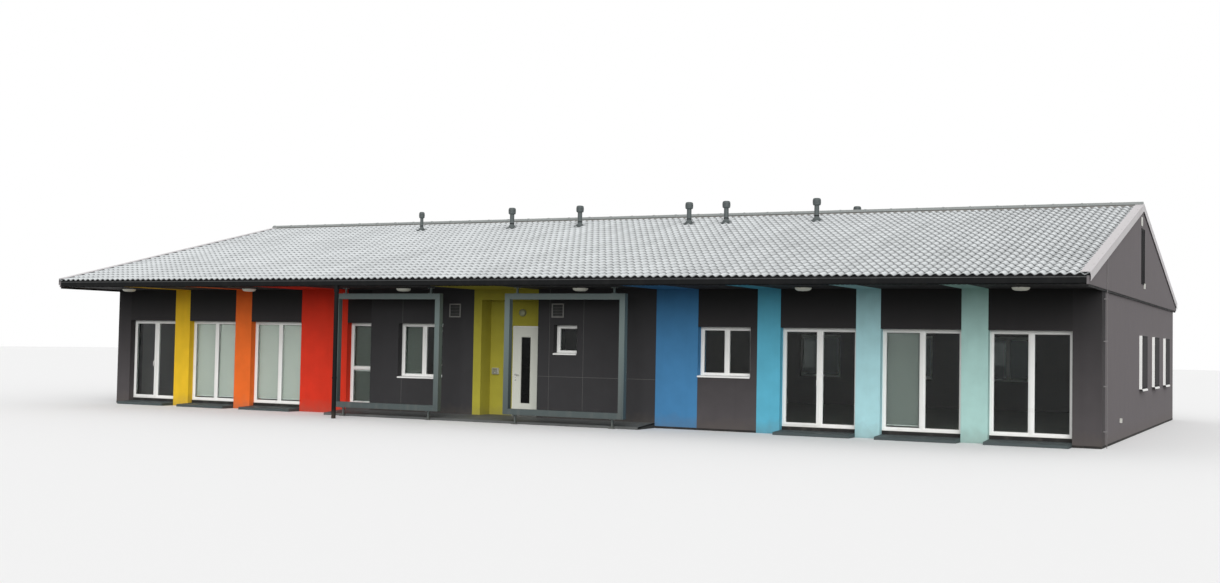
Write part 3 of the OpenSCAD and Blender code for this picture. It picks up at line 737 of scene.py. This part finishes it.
def round_solid(obj, width):
    obj.modifiers.new("join_corners", "WELD").merge_threshold = 0.00005
    round_edges(obj, width)


for node, (material, width) in DRESS.items():
    NODE[node].data.materials[0] = material
    if width:
        round_solid(NODE[node], width)
for node in (*WALL_PAINT, "end_piers"):
    round_solid(NODE[node], 0.004)
print("dressed:", len(DRESS) + len(WALL_PAINT) + len(DARK_WALLS))

# %% [markdown]
# ## Roof of pressed tile sheets
# A wave is 170 mm wide and a row 327 mm deep, measured level, with a small step at its foot;
# both were counted on the photograph. A bump texture would keep the edge at the eave
# straight, where the waves show best, so the sheets are real meshes: a grid whose height is
# lowered between the crests and stepped at each row. The crests stay on the plane of the
# packed roof.

# %% Press the tile sheets
# Part of a row's length, and how far the sheet lies below the slope there
ROW_PROFILE = ((0.0, STEP), (0.5, 0.007), (0.93, 0.0), (1.0, 0.003))
# The same at the eave, where the last row is bent in: metres before the edge
EAVE_PROFILE = ((0.001, 0.016), (0.012, 0.020))


def roof_at(y):
    return RIDGE - SLOPE * abs(y)


def tile_sheet(name, side, first, last, cuts):
    across = np.arange((last - first) * cuts + 1) / cuts + first
    x = -SHEET_END + across * PITCH
    part = across % 1.0
    bent = np.where(part < VALLEY, part / VALLEY, (1 - part) / (1 - VALLEY))
    trough = WAVE_DEPTH * (0.5 - 0.5 * np.cos(math.pi * bent)) ** 1.15
    line = [(HALF_ROOF * (row + along) / ROWS, fall) for row in range(ROWS)
            for along, fall in ROW_PROFILE]
    line += [(HALF_ROOF - before, fall) for before, fall in EAVE_PROFILE]
    y, fall = np.array(line).T
    grid = np.empty((len(y), len(x), 3))
    grid[..., 0] = x
    grid[..., 1] = side * y[:, None]
    grid[..., 2] = (RIDGE - SLOPE * y - fall)[:, None] - trough
    rows, columns = grid.shape[:2]
    corner = (np.arange(rows - 1)[:, None] * columns + np.arange(columns - 1)).ravel()
    quads = np.stack([corner, corner + columns, corner + columns + 1, corner + 1], 1)
    if side > 0:
        quads = quads[:, ::-1]
    mesh = bpy.data.meshes.new(name)
    mesh.from_pydata(grid.reshape(-1, 3).tolist(), [], quads.tolist())
    mesh.materials.append(roof_sheet)
    mesh.polygons.foreach_set("use_smooth", [True] * len(quads))
    mesh.set_sharp_from_angle(angle=math.radians(50))
    obj = bpy.data.objects.new(name, mesh)
    bpy.context.collection.objects.link(obj)
    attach(obj, "building")
    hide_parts("roof_front" if side < 0 else "roof_back")
    print(f"{name}: {len(quads)} faces")


for slope, side, cuts in (("front", -1, 8), ("back", 1, 6)):
    tile_sheet(f"{slope}_tiles_left", side, 0, WAVES // 2, cuts)
    tile_sheet(f"{slope}_tiles_right", side, WAVES // 2, WAVES, cuts)

# %% [markdown]
# Under the sheets lie boarding and an eave strip, which show only as the dark gap above the
# gutter. One thin folded slab for each slope closes that gap and keeps daylight out; it is
# coloured black, as the painted shade of that gap.

# %% Boarding and eave strip
boarding = Shape()
for side in (-1, 1):
    ridge_y, foot_y, lip_y = 0.002 * side, (HALF_ROOF - 0.03) * side, (HALF_ROOF - 0.018) * side
    boarding.prism([(ridge_y, roof_at(0) - 0.062), (ridge_y, roof_at(0) - 0.053),
                    (foot_y, roof_at(foot_y) - 0.053), (foot_y, roof_at(foot_y) - 0.066),
                    ((HALF_ROOF - 0.09) * side, EAVE - 0.04)], "X", -SHEET_END, SHEET_END)
    boarding.prism([(foot_y, EAVE - 0.036), (lip_y, EAVE - 0.044), (lip_y, EAVE - 0.080),
                    (foot_y, EAVE - 0.080)], "X", -SHEET_END, SHEET_END)
strip = boarding.piece("roof_boarding", [black_mesh_and_shade], slot="dark_soffit")
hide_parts("roof_front", "roof_back")

# %% [markdown]
# The ridge tiles are straight and the waves are not, so an eye-shaped hole would stay over
# each valley. Roofers push a grey comb of foam in there. Here it is a low grey strip on each
# side, which shows only between the crests, as the comb does.

# %% Foam combs under the ridge tiles
combs = Shape()
COMB_NEAR, COMB_FAR = 0.070, 0.112
for side in (-1, 1):
    near, far = side * COMB_NEAR, side * COMB_FAR
    combs.prism([(near, roof_at(near) - 0.040), (near, roof_at(near) - 0.001),
                 (far, roof_at(far) - 0.002), (far, roof_at(far) - 0.040)],
                "X", -SHEET_END + 0.02, SHEET_END - 0.02)
combs.piece("ridge_combs", [rim_grey], slot="dark_metal")

# %% [markdown]
# Flashings and ridge tiles are held by screws with a rubber washer. They are the smallest
# things on the roof, yet a bare strip of metal looks like cardboard from near. One turned
# head with six sides is repeated along each edge.

# %% Screws along the verges and the ridge
screws = Shape()
VERGE_X, VERGE_TOP, RIDGE_SCREW_Y, RIDGE_SCREW_Z = 12.53, 0.0075, 0.080, 5.198
for end in (-1, 1):
    for side in (-1, 1):
        uphill = Vector((0, side * SLOPE, 1)).normalized()
        for y in np.arange(0.35, 8.1, 0.55):
            screws.bolt((end * VERGE_X, side * y, roof_at(y) + VERGE_TOP), 0.006, uphill)
for x in np.arange(-12.4, 12.5, 0.642):
    for side in (-1, 1):
        screws.bolt((x, side * RIDGE_SCREW_Y, RIDGE_SCREW_Z), 0.006, (0, side * 0.85, 0.53))
screws.piece("roof_screws", [zinc], slot="pale_flashing")

# %% [markdown]
# The flashing of a gable does not end at the roof's edge. It is folded down over the barge
# board, and from the ground that fold is the broad pale band under the tiles. The packed
# flashing has only a short fold, so a strip goes on from it, with a narrow hem at its foot.

# %% Folds of the gable flashings
folds = Shape()
FOLD, FOLD_START, HEM = 0.160, 0.030, 0.012
# How far below the roof a strip starts, and its two sides: the fold itself, then its hem
STRIPS = ((FOLD_START, 12.5725, 12.5745), (FOLD - HEM, 12.5660, 12.5725))
for end in (-1, 1):
    for side in (-1, 1):
        for top, near, far in STRIPS:
            folds.prism([(0.0, roof_at(0) - top), (side * HALF_ROOF, EAVE - top),
                         (side * HALF_ROOF, EAVE - FOLD), (0.0, roof_at(0) - FOLD)],
                        "X", *sorted((end * near, end * far)))
folds.piece("verge_folds", [flashing], slot="pale_flashing")

# %% [markdown]
# Each vent stands on an apron of soft sheet that follows the slope, and a clamp holds its
# pipe. The cap has a row of slots for the air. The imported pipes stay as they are, and these
# thin parts lie on them.

# %% Vent aprons, clamps and slots
VENTS = [(-6.325, -1.15, 0.49, 0.045, 0.078), *((x, -1.15, 0.525, 0.060, 0.100) for x in
         (-3.39, -1.31, 1.83, 2.845, 5.21)), (5.6, 0.9, 0.45, 0.060, 0.100)]
aprons, vent_trim = Shape(), Shape()
for x, y, height, pipe, cap in VENTS:
    reach = pipe + 0.06
    side = 1 if y > 0 else -1
    near, far = abs(y) - reach, abs(y) + reach
    aprons.prism([(side * near, roof_at(near) + 0.001), (side * near, roof_at(near) + 0.005),
                  (side * far, roof_at(far) + 0.005), (side * far, roof_at(far) - 0.012),
                  (side * (far - 0.01), roof_at(far - 0.01) + 0.001)],
                 "X", x - reach, x + reach)
    foot = roof_at(y) + 0.001
    vent_trim.turned([(pipe, 0.085), (pipe + 0.005, 0.085), (pipe + 0.005, 0.105), (pipe, 0.105)],
                     (x, y, foot), 32)
    for i in range(18):
        angle = math.tau * i / 18
        out = Vector((math.cos(angle), math.sin(angle), 0))
        spot = Vector((x, y, foot + height - 0.10)) + out * (cap - 0.002)
        vent_trim.tube([spot - Vector((0, 0, 0.025)), spot + Vector((0, 0, 0.040))], 0.003, 6)
aprons.piece("vent_aprons", [vent_metal], slot="dark_metal", bevel=0.001)
vent_trim.piece("vent_trim", [black_mesh_and_shade], slot="dark_metal")

# %% [markdown]
# ## Gutter
# A gutter this long is not one sheet. It comes in lengths joined by sleeves, and bent
# straps carry it. The straps and sleeves are folded outlines pushed along the gutter by
# their own width.

# %% Gutter straps and sleeves
straps = Shape()
LIP, UNDER, BAR = 8.1805, 3.0125, 0.0025


def strap(side, inner, lift, sheet, rise, start, end):
    """A flat bar under the gutter, bent up before its front."""
    low, high = UNDER + lift, UNDER + lift + BAR
    straps.prism([(side * inner, low), (side * inner, high), (side * (LIP - sheet), high),
                  (side * (LIP - sheet), rise), (side * LIP, rise), (side * LIP, low)],
                 "X", start, end)


for side in (-1, 1):
    for x in np.arange(-12.0, 12.1, 0.8):
        strap(side, 8.05, 0, BAR, 3.112, x - 0.015, x + 0.015)
    for x in (-9.6, -6.4, -3.2, 0.0, 3.2, 6.4, 9.6):
        strap(side, 8.068, 0.0005, 0.002, 3.108, x + 0.34, x + 0.46)
straps.piece("gutter_straps", [dark_metal], slot="dark_metal", bevel=0.0006)

# %% [markdown]
# The rolled rim of the gutter catches the light as one thin pale line under the tiles. A
# slightly larger bead over the rim is coloured lighter than the gutter to draw that line, as a
# painted highlight.

# %% Painted highlight on the rim of the gutter
rim = Shape()
RIM_END, RIM_Y, RIM_Z, RIM_RADIUS = 12.497, 8.173, 3.118, 0.0076
for side in (-1, 1):
    rim.tube([(-RIM_END, side * RIM_Y, RIM_Z), (RIM_END, side * RIM_Y, RIM_Z)], RIM_RADIUS, 12)
rim.piece("gutter_rims", [rim_highlight_paint], slot="dark_metal", smooth=60)

# %% [markdown]
# ## Soffit
# The boxed eave is closed from below with dark boards. Narrow metal strips cover the joints
# between the boards, and one long strip with slots near the gutter lets air into the roof.

# %% Joint strips and air strip under the eave
soffit_trim = Shape()
SOFFIT, FRONT = 3.0, -6.2
BOARD_JOINTS = (-12.2, -10.72, -9.2, -7.66, -6.6, -4.5, -3.4, -2.2, 1.0, 2.7, 4.9, 5.45, 6.45,
                7.55, 9.0, 10.65, 11.75)
for x in BOARD_JOINTS:
    soffit_trim.block((x - 0.012, -8.03, SOFFIT - 0.0025),
                      (x + 0.012, FRONT - 0.005, SOFFIT + 0.0005))
for x in np.arange(-12.4, 12.4, 0.10):
    for y in (-7.99, -7.965):
        soffit_trim.block((x, y, SOFFIT - 0.003), (x + 0.06, y + 0.015, SOFFIT + 0.0005), 1)
soffit_trim.piece("soffit_strips", [soffit_paint, black_mesh_and_shade], slot="dark_soffit")

# %% [markdown]
# Under the eave hang six round lamps. The opal bowl is packed; a dark collar holds it, with
# three small clips, because the bowl has to come off when the lamp is changed.

# %% Lamp collars
collars = Shape()
LAMPS, LAMP_Y, CLIP_RING = (-11.24, -7.27, -2.695, 1.913, 6.942, 11.178), -7.1, 0.180
for x in LAMPS:
    collars.turned([(0.160, 0.0), (0.184, 0.0), (0.186, -0.004), (0.184, -0.012),
                    (0.176, -0.014), (0.160, -0.008)], (x, LAMP_Y, SOFFIT), 48)
    for i in range(3):
        angle = math.tau * i / 3 + 0.5
        centre = (x + CLIP_RING * math.cos(angle), LAMP_Y + CLIP_RING * math.sin(angle), 2.984)
        collars.turned([(0.0, -0.006), (0.007, -0.006), (0.009, 0.002), (0.009, 0.012),
                        (0.0, 0.012)], centre, 12)
collars.piece("lamp_collars", [soffit_paint], slot="dark_soffit", smooth=50)

# %% [markdown]
# ## Windows
# A pane is held by a black rubber seal that shows as a fine line round the glass. The foot
# rail has small caps over the slots that let rain out. Both are placed from the panes, so
# every window gets them, and those of a moving leaf ride with the leaf.

# %% Seals round the panes
SEAL_WIDTH, SEAL_OUT, SEAL_IN = 0.005, 0.003, 0.001


def seals(name, panes, body, back=False):
    rubber = Shape()
    for low, high in panes:
        if high.x - low.x < high.y - low.y:
            facing, side, depth = "X", (low.y, high.y), (high.x - SEAL_IN, high.x + SEAL_OUT)
        elif back:
            facing, side, depth = "Y", (low.x, high.x), (high.y - SEAL_IN, high.y + SEAL_OUT)
        else:
            facing, side, depth = "Y", (low.x, high.x), (low.y - SEAL_OUT, low.y + SEAL_IN)
        rubber.border(facing, side, (low.z, high.z), depth, SEAL_WIDTH)
    rubber.piece(name, [seal_black], body, "white_frame")


seals("front_seals", front_panes, "building")
seals("rear_seals", rear_panes, "building", back=True)
seals("entrance_seal", solids("door_glass"), "entrance_door")
for hand in ("left", "right"):
    seals(f"terrace_seal_{hand}", solids(f"terrace_glass_{hand}"), f"terrace_door_{hand}")

# %% Caps over the drain slots
WINDOW_FACE = -6.035
caps = Shape()
for low, high in front_panes:
    if low.z < 0.3 or 0.9 < low.z < 1.7 and high.x - low.x < 0.62:
        for part in (0.22, 0.78):
            x = low.x + (high.x - low.x) * part
            z = low.z - 0.056
            caps.prism([(x - 0.017, z - 0.004), (x - 0.014, z - 0.006), (x + 0.014, z - 0.006),
                        (x + 0.017, z - 0.004), (x + 0.017, z + 0.003), (x + 0.013, z + 0.006),
                        (x - 0.013, z + 0.006), (x - 0.017, z + 0.003)], "Y",
                       WINDOW_FACE - 0.004, WINDOW_FACE + 0.001)
caps.piece("drain_caps", [frame_white], slot="white_frame", bevel=0.0008)

# %% [markdown]
# Behind some panes hangs a roller blind: a case at the head, a weighted bar at the foot and
# a sheet of cloth between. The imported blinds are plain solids, so each sheet is made anew as
# thin cloth with a slight belly, at the size it was cut to. The pale ones hang in the two
# bays beside the orange pier, and darker ones in the middle wall and beyond the sky pier.

# %% Roller blinds
cases = Shape()
for i, (low, high) in enumerate(solids("window_blinds")):
    left, right, back = low.x + 0.012, high.x - 0.012, low.y + 0.025
    head, foot = high.z - 0.050, low.z + 0.012
    cases.prism([(low.y + 0.001, high.z - 0.058), (low.y + 0.001, high.z - 0.002),
                 (low.y + 0.050, high.z - 0.002), (low.y + 0.056, high.z - 0.010),
                 (low.y + 0.056, high.z - 0.036), (low.y + 0.036, high.z - 0.058)], "X",
                low.x + 0.002, high.x - 0.002)
    cases.tube([(left, back, low.z + 0.009), (right, back, low.z + 0.009)], 0.0088, 16)
    for x in (left - 0.006, right):
        cases.turned([(0.0, 0.0), (0.010, 0.0), (0.010, 0.006), (0.0, 0.006)],
                     (x, back, low.z + 0.009), 16, (1, 0, 0))
    columns, rows = 8, 24
    points = []
    for row in range(rows + 1):
        down = row / rows
        for column in range(columns + 1):
            out = 0.0025 * math.sin(math.pi * down) * math.sin(math.pi * column / columns)
            points.append((left + (right - left) * column / columns, back + out,
                           head + (foot - head) * down))
    cloth = Shape()
    cloth.add(points, grid_faces(columns, rows))
    fabric = pale_blind if left < -6 else green_blind if left < 6 else dark_blind
    sheet = cloth.piece(f"blind_sheet_{i + 1}", [fabric], slot="blind_fabric")
    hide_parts("window_blinds")
housing = cases.piece("blind_cases", [frame_white], slot="white_frame", bevel=0.001)
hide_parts("window_blinds")

# %% [markdown]
# The three windows of the right wall look black from outside, and only the side of their
# casing shows white. A black frame over the casing, with a fine black sheet stretched in it,
# is painted shade that makes the windows black, and it also keeps the sky from mirroring in
# the glass.

# %% Black sheets of painted shade on the right wall's windows
screen_frames = Shape()
SCREEN_BACK, CLOTH_X, SCREEN_FACE, SCREEN_Z = 12.5615, 12.5665, 12.5700, 1.6
for i, (low, high) in enumerate(pane for pane in rear_panes if pane[1].x > 12.4):
    middle = (low.y + high.y) / 2
    screen_frames.border("X", (middle - 0.499, middle + 0.499), (1.001, 2.199),
                         (SCREEN_BACK, SCREEN_FACE), 0.040)
    screen_frames.block((SCREEN_BACK, middle - 0.460, SCREEN_Z - 0.004),
                        (12.5680, middle + 0.460, SCREEN_Z + 0.004))
    for z in (1.06, 2.14):
        for y in (middle - 0.479, middle + 0.479):
            screen_frames.bolt((12.5695, y, z), 0.0035, (1, 0, 0), 1)
    width, height, steps = 0.924, 1.124, 12
    ys = [middle - width / 2 + width * j / steps for j in range(steps + 1)]
    zs = [SCREEN_Z - height / 2 + height * j / steps for j in range(steps + 1)]
    screen = Shape()
    screen.add([(CLOTH_X, y, z) for z in zs for y in ys], grid_faces(steps, steps))
    screen.piece(f"painted_shade_sheet_{i + 1}", [painted_shade_sheet], slot="blind_fabric")
screen_frames.piece("screen_frames", [black_mesh_and_shade, zinc], slot="dark_metal", bevel=0.0008)

# %% [markdown]
# ## Ground at the front
# The platform is laid from stone slabs on a bed, with sand in the joints. It falls to a
# rounded front edge. Slabs are the point here, because the joints give the eye its scale, so
# each slab is its own small solid with broken edges, and the bed below shows in the gaps.

# %% Slabs of the entrance platform
DECK, EDGE, LIP_Y = 0.115, 0.055, -7.04
FALL_FROM, FALL_LENGTH = FRONT - 0.06, 0.76
DECK_LEFT, DECK_RIGHT, BAY_LEFT, DOOR_LEFT, BAY_RIGHT = -4.950, 3.310, -1.130, -0.540, 0.370
BAY_BACK, DOOR_BACK = -5.780, -5.620
SLAB, JOINT, BED = 0.03, 0.002, 0.004


def deck_at(y):
    """The platform's height, which falls from FALL_FROM to the front edge."""
    return DECK + (EDGE - DECK) * max(0.0, FALL_FROM - y) / FALL_LENGTH


slabs = Shape()
slabs.prism([(FRONT + 0.001, 0), (FRONT + 0.001, DECK - BED), (FALL_FROM, DECK - BED),
             (LIP_Y + 0.022, EDGE - BED), (LIP_Y + 0.004, EDGE - 0.016), (LIP_Y + 0.004, 0)],
            "X", DECK_LEFT + JOINT, DECK_RIGHT - JOINT, 1)
slabs.block((BAY_LEFT, FRONT - 0.001, 0), (BAY_RIGHT, BAY_BACK, DECK - BED), 1)
slabs.block((DOOR_LEFT, BAY_BACK - 0.001, 0), (BAY_RIGHT, DOOR_BACK, DECK - BED), 1)
shades = random.Random(7)
rows_of_slabs = [(LIP_Y, LIP_Y + 0.30), (LIP_Y + 0.30, LIP_Y + 0.60), (LIP_Y + 0.60, FRONT)]
for row, (near, far) in enumerate(rows_of_slabs):
    ends = [DECK_LEFT + 0.3 * (row % 2) + 0.6 * i for i in range(14)]
    ends = [DECK_LEFT] + [x for x in ends if -4.8 < x < 3.2] + [DECK_RIGHT]
    for a, b in zip(ends, ends[1:]):
        y0, y1 = near + JOINT, far - JOINT
        top = [(y, deck_at(y)) for y in (y1, FALL_FROM, y0) if y0 <= y <= y1]
        outline = [(y1, deck_at(y1) - SLAB), *top, (y0, deck_at(y0) - SLAB)]
        if row == 0:
            outline[-2:] = [(LIP_Y + 0.020, EDGE), (LIP_Y + 0.008, EDGE - 0.004),
                            (LIP_Y, EDGE - 0.014), (LIP_Y, 0.006), (LIP_Y + 0.04, 0.006),
                            (LIP_Y + 0.04, EDGE - SLAB)]
        slabs.prism(outline, "X", a + JOINT, b - JOINT, shades.choice((0, 2)))
BAY_SLAB = (BAY_RIGHT - BAY_LEFT) / 4
for i in range(4):
    a = BAY_LEFT + BAY_SLAB * i
    slabs.block((a + JOINT, FRONT + JOINT, DECK - SLAB),
                (a + BAY_SLAB - JOINT, BAY_BACK - JOINT, DECK))
slabs.block((DOOR_LEFT + JOINT, BAY_BACK + JOINT, DECK - SLAB),
            (BAY_RIGHT - JOINT, DOOR_BACK - JOINT, DECK), 2)
platform = slabs.piece("platform_slabs", [dark_stone, joint_sand, pale_slab],
                       slot="dark_stone", bevel=0.0015)
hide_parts("entrance_platform")

# %% [markdown]
# Below each floor-length window, and along the lowest strip of the render all round, a thin
# black strip is painted shadow: the shadow gap under the window frames, and the shadow line
# where the render stops above the ground. Seen from afar both are only a dark line, but
# without it the building seems to float.

# %% Painted shadow strips at the foot of the walls
shadow_lines = Shape()
WINDOW_BAYS = ((-12.06, -10.50), (-10.0, -8.47), (-7.95, -6.36), (6.15, 7.76), (8.27, 9.88),
               (10.40, 11.97))
WALL_END, BACK, INTO_WALL = 12.5, 7.75, 0.0005
for a, b in WINDOW_BAYS:
    shadow_lines.block((a + 0.001, -6.054, 0.086), (b - 0.001, -6.0495, 0.158))
for x0, x1, y0, y1 in ((WALL_END - INTO_WALL, WALL_END + 0.003, FRONT, BACK),
                       (-WALL_END - 0.003, -WALL_END + INTO_WALL, FRONT, BACK),
                       (-WALL_END, WALL_END, BACK - INTO_WALL, BACK + 0.003),
                       (11.97, WALL_END, FRONT - 0.003, FRONT + INTO_WALL),
                       (-WALL_END, -12.06, FRONT - 0.003, FRONT + INTO_WALL),
                       (3.312, 5.64, FRONT - 0.003, FRONT + INTO_WALL)):
    shadow_lines.block((x0, y0, 0.002), (x1, y1, 0.047))
shadow_lines.piece("painted_shadow_strips", [shadow_line_black], slot="dark_soffit")

# %% [markdown]
# ## Walls
# The middle walls are panels with a slim grey profile in each joint. Under each gable a strip
# in the dark soffit paint is painted shadow, and it draws the long dark line across the end of
# the building.

# %% Joint profiles and painted shadow under the gables
trim = Shape()
for x in (-3.334, 0.668, 1.533):
    trim.block((x - 0.003, FRONT - 0.001, 0.116), (x + 0.003, FRONT + 0.005, 2.999))
trim.block((0.372, FRONT - 0.001, 1.040), (3.308, FRONT + 0.005, 1.046))
# A dark strip under each gable: painted shadow.
for near, far in ((-12.530, -WALL_END + INTO_WALL), (WALL_END - INTO_WALL, 12.530)):
    trim.block((near, -8.150, 2.955), (far, 8.150, 2.9925), 1)
trim.piece("joint_profiles", [joint_grey, soffit_paint], slot="pale_plastic")

# %% [markdown]
# Two grilles let air through the middle walls. Behind their slats lies a fine mesh against
# insects, and a rim stands proud of the housing.

# %% Insect mesh and rims of the grilles
vents = Shape()
for x, z in ((-1.852, 2.512), (0.878, 2.525)):
    vents.block((x - 0.1245, FRONT - 0.0075, z - 0.1265),
                (x + 0.1245, FRONT - 0.0055, z + 0.1265))
    vents.border("Y", (x - 0.157, x + 0.157), (z - 0.159, z + 0.159),
                 (FRONT - 0.021, FRONT - 0.017), 0.030, 1)
vents.piece("grille_mesh", [black_mesh_and_shade, rim_grey], slot="grille_grey", bevel=0.0006)

# %% [markdown]
# The louvre of the roof space has a storm screen: a black frame on the gable with closely
# set slats. From the ground it is one nearly black upright strip.

# %% Storm screen over the gable louvre
storm = Shape()
SLAT_BACK, SLAT_FACE = 12.5480, 12.5580
storm.border("X", (-0.300, 0.300), (3.360, 4.620), (12.5475, 12.5600), 0.022)
for z in np.arange(3.390, 4.590, 0.030):
    storm.prism([(SLAT_BACK, z + 0.018), (SLAT_BACK, z + 0.022), (SLAT_FACE, z + 0.004),
                 (SLAT_FACE, z)], "Y", -0.279, 0.279)
storm.block((12.5412, -0.289, 3.401), (12.5420, 0.289, 4.609))
storm.block((SLAT_BACK, -0.290, 3.370), (SLAT_BACK + 0.0006, 0.290, 3.400))
storm.piece("louvre_storm_screen", [black_mesh_and_shade], slot="grille_grey", bevel=0.0005)

# %% [markdown]
# ## Steel frames
# Each frame is a welded square tube that hangs from two posts and stands on two feet. Plates
# spread the load, and four bolts hold each plate. A weld leaves a thin raised bead across
# the mitre at every corner.

# %% Plates, bolts and welds of the steel frames
plates, beads = Shape(), Shape()
STEEL_Y, STEEL_LOW, STEEL_HIGH, STEEL, WELD_OUT = -7.105, 0.205, 2.870, 0.130, 0.0705
FRAME_WIDTH, POST_IN = 2.960, 0.285
# Underside, upper side and half width of each plate, and the way its bolts point
PLATES = ((2.992, SOFFIT, 0.060, -1), (STEEL_HIGH, STEEL_HIGH + 0.008, 0.052, 1),
          (STEEL_LOW - 0.008, STEEL_LOW, 0.052, -1), (0.0, 0.010, 0.060, 1))
for x0 in (-4.605, 0.065):
    x1 = x0 + FRAME_WIDTH
    for x in (x0 + POST_IN, x1 - POST_IN):
        for low, high, size, bolts_up in PLATES:
            plates.block((x - size, STEEL_Y - size, low), (x + size, STEEL_Y + size, high))
            face, out = high if bolts_up > 0 else low, size * 0.72
            for a in (-out, out):
                for b in (-out, out):
                    plates.bolt((x + a, STEEL_Y + b, face), 0.0065, (0, 0, bolts_up), 1)
    for x, way in ((x0, 1), (x1, -1)):
        for z, rise in ((STEEL_LOW, 1), (STEEL_HIGH, -1)):
            for y in (STEEL_Y - WELD_OUT, STEEL_Y + WELD_OUT):
                beads.tube([(x + way * reach, y, z + rise * reach)
                            for reach in (0.006, STEEL - 0.004)], 0.0022, 8)
plates.piece("steel_plates", [steel_paint, zinc], slot="blue_grey_steel", bevel=0.001)
beads.piece("weld_beads", [steel_paint], slot="blue_grey_steel")

# %% [markdown]
# Two small hooks stick out from the right-hand post of the left frame. They are bent round
# bar, so each is a tube along a short curved path, welded to a round plate.

# %% Hooks on the left steel frame
hooks = Shape()
POST, ARM, BEND = -1.645, 0.045, 0.022
for z in (2.15, 0.98):
    hooks.turned([(0.0, 0.0), (0.022, 0.0), (0.022, 0.004), (0.0, 0.004)],
                 (POST, STEEL_Y, z), 24, (1, 0, 0))
    curve = [(POST + 0.002, STEEL_Y, z), (POST + ARM, STEEL_Y, z)]
    curve += [(POST + ARM + BEND * math.sin(t), STEEL_Y, z + BEND - BEND * math.cos(t))
              for t in np.linspace(0.3, 2.4, 9)]
    hooks.tube(curve, 0.006, 12)
hooks.piece("post_hooks", [steel_paint], slot="blue_grey_steel", smooth=50)

# %% [markdown]
# ## Entrance
# The bay holds the door, an intercom and a round lamp. Their housings are packed. What is
# added is what is touched or seen from near: the lock below the handle, the dark face and
# button of the intercom, the lamp's bowl and ring, and a metal threshold.

# %% Lock, threshold, intercom and lamp
entrance = Shape()
LEAF_Y, LOCK_X = -5.777, -0.448
entrance.turned([(0.0, 0.0), (0.019, 0.0), (0.019, 0.004), (0.016, 0.007), (0.0, 0.007)],
                (LOCK_X, LEAF_Y, 0.925), 32, (0, -1, 0))
entrance.turned([(0.0, 0.006), (0.0085, 0.006), (0.0085, 0.010), (0.0, 0.010)],
                (LOCK_X, LEAF_Y, 0.929), 24, (0, -1, 0), 1)
entrance.block((LOCK_X - 0.0012, LEAF_Y - 0.0105, 0.923),
               (LOCK_X + 0.0012, LEAF_Y - 0.0095, 0.934), 1)
entrance.piece("door_lock", [handle_steel, zinc], "entrance_door", "handle_steel")

bay_trim = Shape()
bay_trim.block((-0.499, -5.752, 0.1150), (0.329, -5.700, 0.1185))
bay_trim.prism([(-1.040, 1.060), (-1.040, 1.185), (-1.036, 1.189), (-0.899, 1.189),
                (-0.895, 1.185), (-0.895, 1.060), (-0.899, 1.056), (-1.036, 1.056)], "Y",
               -5.840, -5.8345, 1)
bay_trim.turned([(0.0, 0.0), (0.013, 0.0), (0.013, 0.003), (0.011, 0.005), (0.0, 0.005)],
                (-0.9675, -5.840, 1.088), 32, (0, -1, 0), 2)
for i in range(5):
    bay_trim.block((-1.000, -5.8412, 1.135 + i * 0.007), (-0.935, -5.8398, 1.138 + i * 0.007), 2)
# The lamp's bowl and ring take the grey-green painted shade.
bay_trim.turned([(0.0, 0.068), (0.040, 0.066), (0.066, 0.060), (0.080, 0.050), (0.084, 0.040),
                 (0.086, 0.010), (0.090, 0.006), (0.090, 0.0), (0.0805, 0.0), (0.0805, 0.046)],
                (-0.276, -5.781, 2.480), 48, (0, -1, 0), 3)
bay_trim.piece("entrance_fittings", [bare_metal, intercom_grey, handle_steel, lamp_painted_shade],
               slot="pale_plastic", smooth=50)

# %% [markdown]
# ## Floor
# The floor looks pale to the camera and in the panes, yet it sends up no more light than the
# dark ground in front of a real building does. Light Path tells the two apart. A floor that
# is pale to every ray would brighten the soffit and the lower walls from below.

# %% Pale floor
floor_mesh = bpy.data.meshes.new("pale_floor")
REACH = 150
floor_mesh.from_pydata([(-REACH, -REACH, 0), (REACH, -REACH, 0), (REACH, REACH, 0),
                        (-REACH, REACH, 0)], [], [(0, 1, 2, 3)])
floor = bpy.data.objects.new("pale_floor", floor_mesh)
bpy.context.collection.objects.link(floor)
floor_finish, floor_tree, floor_shader = finish("pale_floor", 0.9, Specular_IOR_Level=0.1)
floor_colour = blended(floor_tree, looked_at(floor_tree), (0.13, 0.13, 0.12, 1),
                       (0.86, 0.86, 0.86, 1))
floor_tree.links.new(floor_colour, floor_shader.inputs["Base Color"])
floor_mesh.materials.append(floor_finish)
print("floor reaches", REACH, "m each way")
